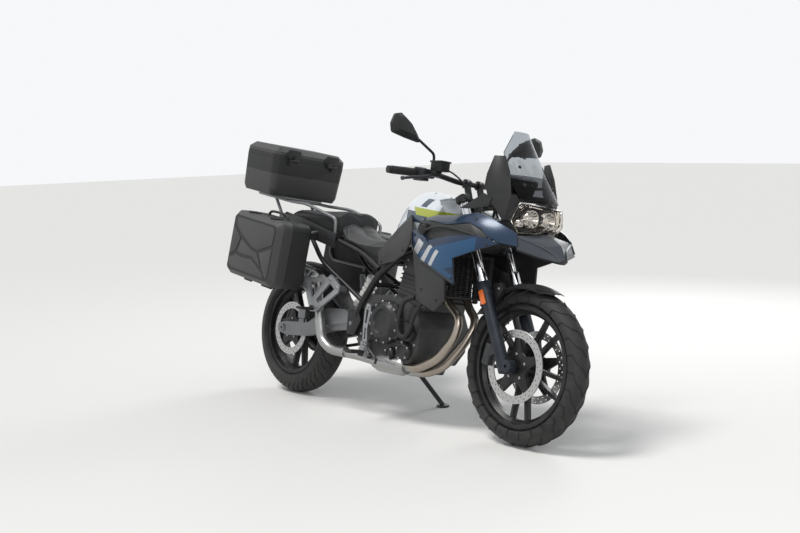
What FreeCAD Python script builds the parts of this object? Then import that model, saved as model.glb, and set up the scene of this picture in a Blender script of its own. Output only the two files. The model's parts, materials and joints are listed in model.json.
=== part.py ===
# Adventure motorcycle with a top case and two panniers, parked on its side stand.
# It is drawn upright, in millimetres: X forward from the rear axle, Y to the rider's left,
# Z up from the ground.
# At the end every piece is leaned over, set down on both tyres and the stand's foot, and written as one file.
import FreeCAD
import Part
import math
import os

V = FreeCAD.Vector
X_AXIS = V(1, 0, 0)
Y_AXIS = V(0, 1, 0)
Z_AXIS = V(0, 0, 1)
ZERO = V(0, 0, 0)

# Driving sizes of the whole machine
WHEELBASE = 1559.0
TRAIL = 104.5
RAKE_DEG = 27.0
LEAN_DEG = 10.0
SEAT_LOW_Z = 800.0
TOUCH = 0.3  # gap between pieces that seat on each other

# Wheels and tyres
FRONT_R = 329.0
FRONT_HALF = 55.0
REAR_R = 321.0
REAR_HALF = 75.0
FRONT_BEAD_R = 243.0
FRONT_RIM_HALF = 38.0
REAR_BEAD_R = 217.0
REAR_RIM_HALF = 60.0
TYRE_WALL = 9.0
FLANGE_H = 12.0
SPOKE_PAIRS = 5
HUB_R = 40.0

# Brakes and chain
FRONT_DISC_R = 152.5
FRONT_DISC_Y = 66.0
REAR_DISC_R = 132.5
REAR_DISC_Y = -80.0
DISC_T = 4.5
CHAIN_PITCH = 15.875
CHAIN_Y = 90.0
CHAIN_HALF_W = 9.0
REAR_TEETH = 42
FRONT_TEETH = 17

# Front fork, in the steering frame: X forward of the steering axis, Z along it from the ground
FORK_HALF_SPACING = 103.0
FORK_OFFSET = 29.0
FORK_TUBE_R = 20.5
FORK_LOWER_R = 27.0
FORK_LOWER_TOP = 724.0
CLAMP_LOW_S = 898.0
CLAMP_TOP_S = 1098.0
CLAMP_T = 26.0
BAR_R = 12.0
BAR_END_Y = 425.0
BAR_X = 1128.0
BAR_Z = 1078.0

# Swing arm
PIVOT_X = 565.0
PIVOT_Z = 400.0
ARM_IN_Y = 100.0
ARM_OUT_Y = 132.0
PIVOT_R = 18.0

# Luggage
CASE_PITCH_DEG = 7.5
PANNIER_L = 423.0
PANNIER_H = 326.0
PANNIER_X = 34.0
PANNIER_Z = 703.0
PANNIER_OUT_Y = 396.0
PANNIER_PART_Y = 318.0
PANNIER_IN_Y = 199.0
PANNIER_CORNER = 42.0
TOP_L = 296.0
TOP_W = 448.0
TOP_H = 250.0
TOP_X = -239.0
TOP_Z = 1121.0
TOP_PART_Z = 62.0  # parting line above the top case's middle
TOP_CORNER = 40.0
CASE_WALL = 4.0
LID_GAP = 0.6
HINGE_R = 7.5
HINGE_PIN_R = 3.0
HINGE_OUT = 9.0

# Number plate
PLATE_PCD = 120.0
PLATE_HOLE_R = 3.3

# Side stand
STAND_PIVOT = V(690, 112, 262)
STAND_FOOT_PARKED = V(795, 282, 0)  # where the foot's middle stands on the ground, machine leaning
STAND_R = 11.0
STAND_CEILING_Z = 318.0
STAND_FOOT_T = 8.0


# Plain building helpers
def box(x0, x1, y0, y1, z0, z1):
    return Part.makeBox(x1 - x0, y1 - y0, z1 - z0, V(x0, y0, z0))


def soft_box(x0, x1, y0, y1, z0, z1, radius):
    block = box(x0, x1, y0, y1, z0, z1)
    return block.makeFillet(radius, block.Edges)


def rod(start, end, radius):
    run = end - start
    return Part.makeCylinder(radius, run.Length, start, run)


def both_sides(shape):
    return [shape, shape.mirror(ZERO, Y_AXIS)]


def fuse(shapes):
    whole = shapes[0]
    if len(shapes) > 1:
        whole = whole.multiFuse(shapes[1:])
    return whole.removeSplitter()


def flat_face(wires):
    """Flat face with the first wire outside and the others as holes."""
    return Part.makeFace(wires, "Part::FaceMakerBullseye")


def rounded_wire(points, radius):
    """Closed wire through the points with every corner rounded, as lines and arcs."""
    count = len(points)
    cuts = []
    for i in range(count):
        p, before, after = points[i], points[i - 1], points[(i + 1) % count]
        to_before = (before - p).normalize()
        to_after = (after - p).normalize()
        turn = math.pi - to_before.getAngle(to_after)
        size = radius[i] if isinstance(radius, (list, tuple)) else radius
        reach = size * math.tan(turn / 2)
        reach = min(reach, 0.49 * (before - p).Length, 0.49 * (after - p).Length)
        bisector = (to_before + to_after).normalize()
        real = reach / math.tan(turn / 2) if turn > 1e-6 else 0
        middle = p + bisector * (real / math.cos(turn / 2) - real) if turn > 1e-6 else p
        cuts.append((p + to_before * reach, middle, p + to_after * reach))
    edges = []
    for i in range(count):
        start, middle, end = cuts[i]
        edges.append(Part.Arc(start, middle, end).toShape())
        following = cuts[(i + 1) % count][0]
        if (following - end).Length > 1e-4:
            edges.append(Part.LineSegment(end, following).toShape())
    return Part.Wire(edges)


def side_plate(outline, y0, y1, radius=0.0, holes=()):
    """Plate with an outline in the XZ plane, between two Y values."""
    def wire(points, r):
        path = [V(x, y0, z) for x, z in points]
        if r > 0:
            return rounded_wire(path, r)
        return Part.makePolygon(path + [path[0]])
    wires = [wire(outline, radius)] + [wire(points, r) for points, r in holes]
    return flat_face(wires).extrude(V(0, y1 - y0, 0))


def bent_tube(points, radius, bend=0.45):
    """Tube along straight runs joined by tangent arcs, each as large as its two runs allow."""
    edges = []
    start = points[0]
    for i in range(1, len(points) - 1):
        p, before, after = points[i], points[i - 1], points[i + 1]
        back = (before - p).normalize()
        ahead = (after - p).normalize()
        turn = math.pi - back.getAngle(ahead)
        reach = bend * min((before - p).Length, (after - p).Length)
        bend_r = reach / math.tan(turn / 2)
        bisector = (back + ahead).normalize()
        middle = p + bisector * (bend_r / math.cos(turn / 2) - bend_r)
        a, b = p + back * reach, p + ahead * reach
        edges.append(Part.LineSegment(start, a).toShape())
        edges.append(Part.Arc(a, middle, b).toShape())
        start = b
    edges.append(Part.LineSegment(start, points[-1]).toShape())
    path = Part.Wire(edges)
    ring = Part.Wire([Part.makeCircle(radius, points[0], points[1] - points[0])])
    return path.makePipeShell([ring], True, False)


def revolved(profile, centre):
    """Solid of revolution about a Y axis through centre. The profile is a closed list of (radius, y) points,
    and a point given as (radius, y, "arc") is the middle of an arc between its neighbours."""
    edges = []
    points = list(profile) + [profile[0]]
    i = 0
    while i < len(points) - 1:
        a, b = points[i], points[i + 1]
        start = V(centre.x + a[0], centre.y + a[1], centre.z)
        if len(b) == 3:
            c = points[i + 2]
            edges.append(Part.Arc(start, V(centre.x + b[0], centre.y + b[1], centre.z),
                                  V(centre.x + c[0], centre.y + c[1], centre.z)).toShape())
            i += 2
        else:
            edges.append(Part.LineSegment(start, V(centre.x + b[0], centre.y + b[1], centre.z)).toShape())
            i += 1
    face = Part.Face(Part.Wire(edges))
    return face.revolve(centre, Y_AXIS, 360)


def folded_panel(points, faces, wall):
    """Thin moulded panel: flat facets between named outside points, thickened inwards by the wall vector."""
    shells = []
    rim_count = {}
    for face in faces:
        loop = [points[name] for name in face]
        shells.append(flat_or_split(loop))
        inner = [p + wall for p in reversed(loop)]
        shells.append(flat_or_split(inner))
        for i in range(len(face)):
            edge = (face[i], face[(i + 1) % len(face)])
            rim_count[edge] = rim_count.get(edge, 0) + 1
    for a, b in rim_count:
        if (b, a) not in rim_count:
            pa, pb = points[a], points[b]
            shells.append([Part.Face(Part.makePolygon([pa, pa + wall, pb + wall, pb, pa]))])
    flat = [f for group in shells for f in group]
    shell = Part.makeShell(flat)
    shell = shell if shell.isClosed() else sewn(flat)
    solid = Part.Solid(shell)
    if solid.Volume < 0:
        solid.reverse()
    return solid


def sewn(faces):
    whole = Part.Compound(faces)
    whole.sewShape()
    return whole.Shells[0] if whole.Shells else Part.makeShell(faces)


def flat_or_split(loop):
    """One flat face, or triangles from the first point where the loop isn't flat."""
    normal = (loop[1] - loop[0]).cross(loop[2] - loop[0]).normalize()
    if all(abs((p - loop[0]).dot(normal)) < 1e-6 for p in loop):
        return [Part.Face(Part.makePolygon(loop + [loop[0]]))]
    return [Part.Face(Part.makePolygon([loop[0], loop[i], loop[i + 1], loop[0]]))
            for i in range(1, len(loop) - 1)]


def steer_frame():
    """Placement from the steering frame to the upright machine."""
    return FreeCAD.Placement(V(WHEELBASE + TRAIL, 0, 0), FreeCAD.Rotation(Y_AXIS, -RAKE_DEG))


STEER = steer_frame()
REAR_AXLE = V(0, 0, REAR_R)
FRONT_AXLE = V(WHEELBASE, 0, FRONT_R)
AXLE_IN_STEER = STEER.inverse().multVec(FRONT_AXLE)


def steered(shape):
    moved = shape.copy()
    moved.Placement = STEER.multiply(moved.Placement)
    return moved


# Cast wheel: rim, hub and pairs of spokes that spread towards the rim
def cast_wheel(centre, bead_r, half, hub_half, spread_deg, spoke_w, spoke_half):
    flange_r = bead_r + FLANGE_H
    well_r = bead_r - 16
    wall = 9.0
    side = [(flange_r, half), (flange_r, half - 5), (bead_r, half - 7), (bead_r - 2, half * 0.55),
            (well_r, half * 0.35)]
    under = [(bead_r - 6, half), (bead_r - wall, half * 0.6), (well_r - wall, half * 0.3)]
    profile = side + [(r, -y) for r, y in reversed(side)] + [(r, -y) for r, y in under]
    profile += [(r, y) for r, y in reversed(under)]
    rim = revolved(profile, centre)
    hub = revolved([(12, hub_half), (HUB_R, hub_half), (HUB_R + 8, hub_half * 0.5),
                    (HUB_R + 8, -hub_half * 0.5),
                    (HUB_R, -hub_half), (12, -hub_half)], centre)
    spokes = []
    foot_r, tip_r = HUB_R, well_r - wall * 0.5
    for pair in range(SPOKE_PAIRS):
        middle = 2 * math.pi * pair / SPOKE_PAIRS + math.pi / 2
        for side_sign in (-1, 1):
            base = middle + side_sign * math.radians(13)
            tip = middle + side_sign * math.radians(spread_deg)
            corners = []
            for radius, angle, shift in ((foot_r, base, -1.25), (tip_r, tip, -0.8), (tip_r, tip, 0.8),
                                         (foot_r, base, 1.25)):
                across = shift * spoke_w / 2 / radius
                corners.append((centre.x + radius * math.cos(angle + across),
                                centre.z + radius * math.sin(angle + across)))
            spokes.append(side_plate(corners, centre.y - spoke_half, centre.y + spoke_half))
    return [rim, hub] + spokes


def tyre(centre, outer_r, half, bead_r, rim_half):
    crown_r = outer_r - half
    lip = rim_half - 5 - TOUCH - 2
    inner = half - TYRE_WALL
    wall_r = bead_r + FLANGE_H + 3
    seat_r = bead_r + TOUCH
    profile = [(seat_r, lip), (wall_r, lip), (wall_r + 4, half - 9), (crown_r, half), (outer_r, 0, "arc"),
               (crown_r, -half),
               (wall_r + 4, 9 - half), (wall_r, -lip), (seat_r, -lip), (seat_r, TYRE_WALL - lip),
               (wall_r + 3, TYRE_WALL - lip),
               (crown_r, -inner), (crown_r + inner, 0, "arc"), (crown_r, inner),
               (wall_r + 3, lip - TYRE_WALL),
               (seat_r, lip - TYRE_WALL)]
    return revolved(profile, centre)


def brake_disc(centre, outer_r, band, y, holes_per_row):
    """Drilled disc ring, with its mounting ears inside."""
    rings = [Part.Wire([Part.makeCircle(outer_r, V(centre.x, y - DISC_T / 2, centre.z), Y_AXIS)]),
             Part.Wire([Part.makeCircle(outer_r - band, V(centre.x, y - DISC_T / 2, centre.z), Y_AXIS)])]
    for row, radius in enumerate((outer_r - band * 0.3, outer_r - band * 0.72)):
        for i in range(holes_per_row):
            angle = 2 * math.pi * (i + row * 0.5) / holes_per_row
            spot = V(centre.x + radius * math.cos(angle), y - DISC_T / 2, centre.z + radius * math.sin(angle))
            rings.append(Part.Wire([Part.makeCircle(3.2, spot, Y_AXIS)]))
    return flat_face(rings).extrude(V(0, DISC_T, 0))


def disc_carrier(centre, reach_r, y0, y1, arms=5):
    """Star-shaped carrier that holds a disc on the hub."""
    points = []
    for i in range(arms):
        middle = 2 * math.pi * i / arms + 0.35
        for radius, shift in ((HUB_R + 26, -0.42), (reach_r, -0.11), (reach_r, 0.11), (HUB_R + 26, 0.42)):
            points.append((centre.x + radius * math.cos(middle + shift),
                           centre.z + radius * math.sin(middle + shift)))
    hole = [(centre.x + 14 * math.cos(a * math.pi / 4),
             centre.z + 14 * math.sin(a * math.pi / 4)) for a in range(8)]
    return side_plate(points, y0, y1, 4.0, [(hole, 0)])


def sprocket(centre, teeth, y, windows):
    """Chain wheel with trapezoid teeth and round lightening windows."""
    pitch_r = CHAIN_PITCH / 2 / math.sin(math.pi / teeth)
    points = []
    for i in range(teeth):
        for share, radius in ((0.0, pitch_r - 5), (0.32, pitch_r - 5), (0.52, pitch_r + 4),
                              (0.80, pitch_r + 4)):
            angle = 2 * math.pi * (i + share) / teeth
            points.append(V(centre.x + radius * math.cos(angle), y - 3, centre.z + radius * math.sin(angle)))
    wires = [Part.makePolygon(points + [points[0]]),
             Part.Wire([Part.makeCircle(20, V(centre.x, y - 3, centre.z), Y_AXIS)])]
    for i in range(windows):
        angle = 2 * math.pi * i / windows
        spot = V(centre.x + pitch_r * 0.68 * math.cos(angle), y - 3,
                 centre.z + pitch_r * 0.68 * math.sin(angle))
        wires.append(Part.Wire([Part.makeCircle(pitch_r * 0.15, spot, Y_AXIS)]))
    return flat_face(wires).extrude(V(0, 6, 0))


def main_piece(shape):
    return sorted(shape.Solids, key=lambda s: -s.Volume)[0]


NODES = {}


def node(name, *shapes):
    solids = []
    for shape in shapes:
        solids += shape.Solids
    NODES[name] = solids


# Front wheel
front_wheel_parts = cast_wheel(FRONT_AXLE, FRONT_BEAD_R, FRONT_RIM_HALF, 52.0, 25.0, 17.0, 13.0)
carrier_y = FRONT_DISC_Y - DISC_T / 2 - TOUCH
front_carriers = both_sides(disc_carrier(FRONT_AXLE, FRONT_DISC_R - 28, 50.0, carrier_y))
node("front_rim", fuse(front_wheel_parts + front_carriers))
node("front_tyre", tyre(FRONT_AXLE, FRONT_R, FRONT_HALF, FRONT_BEAD_R, FRONT_RIM_HALF))
node("front_discs", *both_sides(brake_disc(FRONT_AXLE, FRONT_DISC_R, 33.0, FRONT_DISC_Y, 30)))

# Rear wheel
rear_wheel_parts = cast_wheel(REAR_AXLE, REAR_BEAD_R, REAR_RIM_HALF, 66.0, 24.0, 18.0, 15.0)
rear_carrier = disc_carrier(REAR_AXLE, REAR_DISC_R - 28, REAR_DISC_Y + DISC_T / 2 + TOUCH, -64.0)
sprocket_seat = revolved([(14, 62), (62, 62), (62, CHAIN_Y - 3 - TOUCH), (14, CHAIN_Y - 3 - TOUCH)],
                         REAR_AXLE)
node("rear_rim", fuse(rear_wheel_parts + [rear_carrier, sprocket_seat]))
node("rear_tyre", tyre(REAR_AXLE, REAR_R, REAR_HALF, REAR_BEAD_R, REAR_RIM_HALF))
node("rear_disc", brake_disc(REAR_AXLE, REAR_DISC_R, 33.0, REAR_DISC_Y, 26))
node("rear_sprocket", sprocket(REAR_AXLE, REAR_TEETH, CHAIN_Y, 6))

# Fork: chrome tubes in the clamps, lower legs with axle lugs, in the steering frame
fork_legs = []
fork_lowers = []
for sign in (-1, 1):
    y = sign * FORK_HALF_SPACING
    foot_s = AXLE_IN_STEER.z - 14
    fork_legs.append(rod(V(FORK_OFFSET, y, FORK_LOWER_TOP - 2 + TOUCH),
                         V(FORK_OFFSET, y, CLAMP_TOP_S + CLAMP_T + 6), FORK_TUBE_R))
    leg = rod(V(FORK_OFFSET, y, foot_s), V(FORK_OFFSET, y, FORK_LOWER_TOP - 60), FORK_LOWER_R)
    seal = rod(V(FORK_OFFSET, y, FORK_LOWER_TOP - 60), V(FORK_OFFSET, y, FORK_LOWER_TOP - 2),
               FORK_LOWER_R + 4)
    lug = rod(V(AXLE_IN_STEER.x, y - 21, AXLE_IN_STEER.z), V(AXLE_IN_STEER.x, y + 21, AXLE_IN_STEER.z), 27)
    web = box(FORK_OFFSET - 6, AXLE_IN_STEER.x, y - 15, y + 15, AXLE_IN_STEER.z - 22, AXLE_IN_STEER.z + 34)
    inner_y = y - sign * 21
    spacer = rod(V(AXLE_IN_STEER.x, inner_y, AXLE_IN_STEER.z),
                 V(AXLE_IN_STEER.x, sign * (FRONT_DISC_Y + DISC_T), AXLE_IN_STEER.z), 17)
    whole = fuse([leg, seal, lug, web, spacer])
    bore = rod(V(AXLE_IN_STEER.x, y - 60, AXLE_IN_STEER.z), V(AXLE_IN_STEER.x, y + 60, AXLE_IN_STEER.z), 10.0)
    fork_lowers.append(whole.cut(bore))
axle_half = FORK_HALF_SPACING + 22
front_axle = rod(V(WHEELBASE, -axle_half, FRONT_R), V(WHEELBASE, axle_half, FRONT_R), 11.0)
front_axle = front_axle.cut(rod(V(WHEELBASE, -axle_half, FRONT_R), V(WHEELBASE, axle_half, FRONT_R), 7.0))
fork_lowers = [steered(s) for s in fork_lowers]
node("fork_legs", fuse(fork_lowers + [front_axle]), *[steered(s) for s in fork_legs])


def fork_clamp(s0, height, reach):
    """Clamp that joins both fork tubes to the steering stem."""
    y = FORK_HALF_SPACING
    outline = [V(-30, -22, s0), V(-30, 22, s0), V(FORK_OFFSET - 20, y + 30, s0),
               V(FORK_OFFSET + reach, y + 30, s0),
               V(FORK_OFFSET + reach, y - 26, s0), V(18, 30, s0), V(18, -30, s0),
               V(FORK_OFFSET + reach, -y + 26, s0),
               V(FORK_OFFSET + reach, -y - 30, s0), V(FORK_OFFSET - 20, -y - 30, s0)]
    plate = Part.Face(rounded_wire(outline, 9)).extrude(V(0, 0, height))
    for sign in (-1, 1):
        plate = plate.cut(rod(V(FORK_OFFSET, sign * y, s0 - 5), V(FORK_OFFSET, sign * y, s0 + height + 5),
                              FORK_TUBE_R + TOUCH))
    return plate


stem = rod(V(0, 0, CLAMP_LOW_S + 5), V(0, 0, CLAMP_TOP_S + 5), 14.0)
bar_in_steer = STEER.inverse().multVec(V(BAR_X, 0, BAR_Z))
risers = []
for sign in (-1, 1):
    foot = V(bar_in_steer.x - 8, sign * 38, CLAMP_TOP_S + CLAMP_T - 2)
    top = V(bar_in_steer.x, sign * 38, bar_in_steer.z)
    riser = rod(foot, top, 15)
    cap = rod(top - Y_AXIS * 13, top + Y_AXIS * 13, BAR_R + 9)
    risers.append(fuse([riser, cap]).cut(rod(top - Y_AXIS * 60, top + Y_AXIS * 60, BAR_R + TOUCH)))
riser_pad = Part.makeBox(52, 124, CLAMP_T, V(bar_in_steer.x - 34, -62, CLAMP_TOP_S))
clamp_set = fuse([fork_clamp(CLAMP_LOW_S, CLAMP_T + 10, 30), fork_clamp(CLAMP_TOP_S, CLAMP_T, 28), stem,
                  riser_pad] + risers)
node("fork_clamps", steered(clamp_set))

# Handlebar with grips, switch housings, levers and the brake fluid cup
bar_route = [(BAR_X, 0, BAR_Z), (BAR_X, 88, BAR_Z), (BAR_X - 30, 185, BAR_Z + 20),
             (BAR_X - 68, BAR_END_Y, BAR_Z + 12)]
right_route = [V(x, -y, z) for x, y, z in reversed(bar_route[1:])]
left_route = [V(x, y, z) for x, y, z in bar_route[1:]]
node("handlebar", bent_tube(right_route + left_route, BAR_R, 0.3))


def bar_point(y):
    """Point on the straight outer stretch of the left half of the bar."""
    a, b = V(*bar_route[2]), V(*bar_route[3])
    return a + (b - a) * ((y - a.y) / (b.y - a.y))


def sleeve(y0, y1, radius, bore=BAR_R + TOUCH):
    tube = rod(bar_point(y0), bar_point(y1), radius)
    return tube.cut(rod(bar_point(y0 - 20), bar_point(y1 + 20), bore))


grip = sleeve(302, BAR_END_Y - 1, 17)
weight = rod(bar_point(BAR_END_Y + TOUCH), bar_point(BAR_END_Y + 13), 16)
grips = both_sides(grip) + both_sides(weight)
switch = sleeve(254, 300, 25)
switch_box = box(-19, 33, -21, 21, -33, 18)
switch_box.translate(bar_point(276))
switch = fuse([switch, switch_box]).cut(rod(bar_point(200), bar_point(350), BAR_R + TOUCH))
clamp = sleeve(212, 246, 20)
perch = box(6, 58, -20, 16, -12, 12)
perch.translate(bar_point(232))
perch = fuse([clamp, perch]).cut(rod(bar_point(180), bar_point(300), BAR_R + TOUCH))
lever_root = bar_point(236) + V(48, 0, 0)
lever = bent_tube([lever_root, bar_point(290) + V(66, 0, -14), bar_point(350) + V(58, 0, -24),
                   bar_point(415) + V(72, 0, -34)], 6.5)
lever = lever.fuse(Part.makeSphere(9.5, bar_point(415) + V(72, 0, -34)))
control_set = fuse([perch, lever])
cup = box(18, 84, -34, 16, 12, 50)
cup.translate(bar_point(228))
cup_lid = box(14, 88, -38, 20, 50, 57)
cup_lid.translate(bar_point(228))
right_side = fuse([control_set, cup, cup_lid]).mirror(ZERO, Y_AXIS)
node("hand_controls", *both_sides(switch), control_set, right_side, *grips)

# Mirrors: bent stem and a drop-shaped head, the left one turned further back
MIRRORS = (  # side, head's middle from the foot, stem's bend and tip from the foot
    (1, V(-56, 188, 190), V(-6, -3, 70), V(-69, 104, 142)),
    (-1, V(30, 193, 158), V(8, -3, 64), V(20, 106, 112)),
)
mirror_foot = bar_point(222) + V(0, 0, 20.0 + TOUCH)
head_outline = [V(0, 96, -2), V(0, 86, -38), V(0, 0, -50), V(0, -88, -58), V(0, -94, -46), V(0, -30, 14),
                V(0, 40, 50), V(0, 78, 40)]
small_outline = [V(28, 6 + p.y * 0.6, 2 + p.z * 0.6) for p in head_outline]
head_back = Part.Face(rounded_wire(head_outline, 14)).extrude(V(10, 0, 0))
head_dome = Part.makeLoft([rounded_wire([V(10, p.y, p.z) for p in head_outline], 14),
                           rounded_wire(small_outline, 8.4)], True, True)
mirror_solids = []
for side_sign, head_at, bend_at, tip_at in MIRRORS:
    stem_route = [mirror_foot, mirror_foot + bend_at, mirror_foot + tip_at]
    head = fuse([head_back, head_dome])
    head.rotate(ZERO, Z_AXIS, -8)
    head.translate(mirror_foot + head_at - V(8, 0, 0))
    mirror_half = fuse([bent_tube(stem_route, 6.0, 0.35), head])
    mirror_solids.append(mirror_half if side_sign > 0 else mirror_half.mirror(ZERO, Y_AXIS))
node("mirrors", *mirror_solids)

# Front mudguard: arched sheet round the tyre, held to the fork legs by its brackets
FENDER_TOP_R = 346.0
FENDER_T = 3.5
FENDER_HALF = 64.0


def fender_section(top_r, half, thick):
    edge_r = top_r - 26
    return [(edge_r, half), (top_r, 0, "arc"), (edge_r, -half), (edge_r, -half + thick),
            (top_r - thick, 0, "arc"),
            (edge_r, half - thick)]


def arched_sheet(centre, top_r, half, thick, from_deg, to_deg):
    ring = revolved(fender_section(top_r, half, thick), centre)
    reach = top_r * 3
    corners = [centre]
    steps = 4
    for i in range(steps + 1):
        angle = math.radians(from_deg + (to_deg - from_deg) * i / steps)
        corners.append(centre + V(math.cos(angle), 0, math.sin(angle)) * reach)
    wedge = Part.Face(Part.makePolygon(corners + [centre])).extrude(V(0, 4 * half, 0))
    wedge.translate(V(0, -2 * half, 0))
    return ring.common(wedge)


fender = arched_sheet(FRONT_AXLE, FENDER_TOP_R, FENDER_HALF, FENDER_T, 66, 146)
nose_cut = []
for sign in (-1, 1):
    tip = [V(1620, sign * 70, 500), V(1730, sign * 70, 500), V(1730, sign * 18, 500)]
    nose_cut.append(Part.Face(Part.makePolygon(tip + [tip[0]])).extrude(V(0, 0, 250)))
fender = fender.cut(nose_cut[0]).cut(nose_cut[1])
bracket = side_plate([(1378, 600), (1418, 572), (1462, 640), (1440, 664), (1400, 658)], FENDER_HALF - 4,
                     FORK_HALF_SPACING - 20, 6)
leg_room = [rod(V(FORK_OFFSET, FORK_HALF_SPACING, 300), V(FORK_OFFSET, FORK_HALF_SPACING, 800),
                FORK_LOWER_R + TOUCH),
            rod(V(FORK_OFFSET, FORK_HALF_SPACING, FORK_LOWER_TOP - 60 - TOUCH),
                V(FORK_OFFSET, FORK_HALF_SPACING, 800),
                FORK_LOWER_R + 4 + TOUCH)]
bracket = bracket.cut(steered(fuse(leg_room)))
node("front_fender", fuse([fender] + both_sides(bracket)))

# Front calipers behind the fork legs, straddling the discs
CALIPER_DEG = 140.0
caliper_body = soft_box(FRONT_DISC_R - 23, FRONT_DISC_R + 17, 45, 92, -46, 46, 7)
slot = box(FRONT_DISC_R - 30, FRONT_DISC_R + 7, FRONT_DISC_Y - DISC_T / 2 - 1.8,
           FRONT_DISC_Y + DISC_T / 2 + 1.8, -60, 60)
caliper_body = caliper_body.cut(slot)
caliper_body.rotate(ZERO, Y_AXIS, -CALIPER_DEG)
caliper_lug = box(-100, -40, 80, 91, 82, 122)
caliper = fuse([caliper_body, caliper_lug])
caliper.translate(AXLE_IN_STEER)
caliper = caliper.cut(rod(V(FORK_OFFSET, FORK_HALF_SPACING, 250), V(FORK_OFFSET, FORK_HALF_SPACING, 700),
                          FORK_LOWER_R + TOUCH))
node("front_calipers", *[steered(s) for s in both_sides(caliper)])

# Frame: steering head, side beams and cross members, pivot plates
HEAD_TUBE_R = 30.0
head_tube = rod(V(0, 0, CLAMP_LOW_S + CLAMP_T + 10 + 5), V(0, 0, CLAMP_TOP_S - 5), HEAD_TUBE_R)
head_tube = steered(head_tube.cut(rod(V(0, 0, CLAMP_LOW_S), V(0, 0, CLAMP_TOP_S), 14.0 + TOUCH)))
beam_route = [V(1212, 24, 885), V(1110, 95, 830), V(905, 150, 762), V(730, 150, 640), V(640, 148, 520),
              V(596, 146, 440)]
beam = bent_tube(beam_route, 16, 0.3)
down_route = [V(1206, 20, 872), V(1120, 92, 720), V(1078, 136, 560)]
down_tube = bent_tube(down_route, 13, 0.4)
pivot_plate = side_plate([(540, 455), (612, 470), (640, 420), (600, 345), (545, 350)], ARM_OUT_Y + 3, 156, 10)
SHOCK_SHELF = V(694, 0, 594)
cross_low = rod(SHOCK_SHELF - Y_AXIS * 150, SHOCK_SHELF + Y_AXIS * 150, 12)
clevis = [side_plate([(546, 640), (556, 668), (576, 668), (712, 612), (700, 582)], y, y + 6) for y in (-43,
    -3)]
cross_mid = rod(V(820, -150, 706), V(820, 150, 706), 11)
pivot_bore = rod(V(PIVOT_X, -200, PIVOT_Z), V(PIVOT_X, 200, PIVOT_Z), 10.0 + TOUCH)
frame = fuse([head_tube] + both_sides(beam) + both_sides(down_tube) + both_sides(pivot_plate) + [cross_mid,
    cross_low] + clevis)
stem_bore = steered(rod(V(0, 0, CLAMP_LOW_S), V(0, 0, CLAMP_TOP_S), 14.0 + TOUCH))
frame = frame.cut(pivot_bore).cut(stem_bore)

# Rear frame: upper rails, diagonal struts and cross tubes
RAIL_Y = 128.0
rail = bent_tube([V(722, 146, 665), V(560, RAIL_Y, 735), V(300, RAIL_Y, 800), V(-150, 108, 868)], 12, 0.4)
strut = bent_tube([V(622, 146, 512), V(430, 142, 602), V(276, 138, 672), V(120, 130, 826)], 11, 0.35)
cross_rear = rod(V(-120, -110, 863), V(-120, 110, 863), 9)
cross_front = rod(V(336, -RAIL_Y, 791), V(336, RAIL_Y, 791), 9)
rear_frame = fuse(both_sides(rail) + both_sides(strut) + [cross_rear, cross_front])
rear_frame = rear_frame.cut(frame)
node("rear_frame", rear_frame)

# Swing arm with pivot bolt and hollow rear axle
arm_outline = [(-42, 300), (-42, 342), (30, 356), (200, 366), (350, 452), (480, 460), (PIVOT_X + 30, 425),
               (PIVOT_X + 26, 376),
               (430, 352), (200, 300), (40, 288)]
arm = side_plate(arm_outline, ARM_IN_Y, ARM_OUT_Y, 14)
cross = soft_box(372, 520, -ARM_IN_Y - 1, 60, 372, 448, 10)
web = box(388, 512, 50, ARM_IN_Y + 1, 352, 414)
pivot_tube = rod(V(PIVOT_X, -ARM_IN_Y - 1, PIVOT_Z), V(PIVOT_X, ARM_IN_Y + 1, PIVOT_Z), PIVOT_R)
neck = box(515, 560, -ARM_IN_Y - 1, 60, 384, 414)
pivot_bolt = rod(V(PIVOT_X, -156, PIVOT_Z), V(PIVOT_X, 156, PIVOT_Z), 10)
rear_caliper = soft_box(102, 158, -ARM_OUT_Y + 8, -56, 378, 430, 8)
rear_slot = box(60, 200, REAR_DISC_Y - DISC_T / 2 - 1.8, REAR_DISC_Y + DISC_T / 2 + 1.8, 320, 415)
rear_lug = box(108, 150, -ARM_OUT_Y + 14, -ARM_OUT_Y + 26, 350, 392)
axle_out = ARM_OUT_Y + 9
rear_axle = fuse([rod(V(0, -axle_out, REAR_R), V(0, axle_out, REAR_R), 11.0)] +
                 both_sides(rod(V(0, ARM_OUT_Y, REAR_R), V(0, axle_out, REAR_R), 19)))
arm_parts = both_sides(arm) + [cross, web, pivot_tube, neck, pivot_bolt, rear_axle,
                               rear_caliper.cut(rear_slot), rear_lug]
swing_arm = fuse(arm_parts).cut(rod(V(0, -160, REAR_R), V(0, 160, REAR_R), 7.0))
node("swing_arm", swing_arm)

# Rear spring strut: coil on a damper, standing on the swing arm
SHOCK_LOW = V(440, -20, 450)
SHOCK_TOP = V(564, -20, 650)
shock_run = SHOCK_TOP - SHOCK_LOW
shock_dir = V(shock_run.x, shock_run.y, shock_run.z).normalize()
damper = [rod(SHOCK_LOW, SHOCK_TOP, 14), rod(SHOCK_LOW + shock_dir * 34, SHOCK_LOW + shock_dir * 46, 36),
          rod(SHOCK_LOW + shock_dir * 184, SHOCK_LOW + shock_dir * 196, 36)]
COIL_TURNS = 6
coil_rings = []
for i in range(COIL_TURNS):
    spot = SHOCK_LOW + shock_dir * (56 + i * 24)
    coil_rings.append(Part.makeTorus(27, 6, spot, shock_dir))
    if i:
        coil_rings.append(rod(spot - shock_dir * 25, spot, 22))
shock = fuse(damper + coil_rings).cut(swing_arm)
shock_eye = rod(SHOCK_TOP - Y_AXIS * (17 - TOUCH), SHOCK_TOP + Y_AXIS * (17 - TOUCH), 16)
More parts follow.
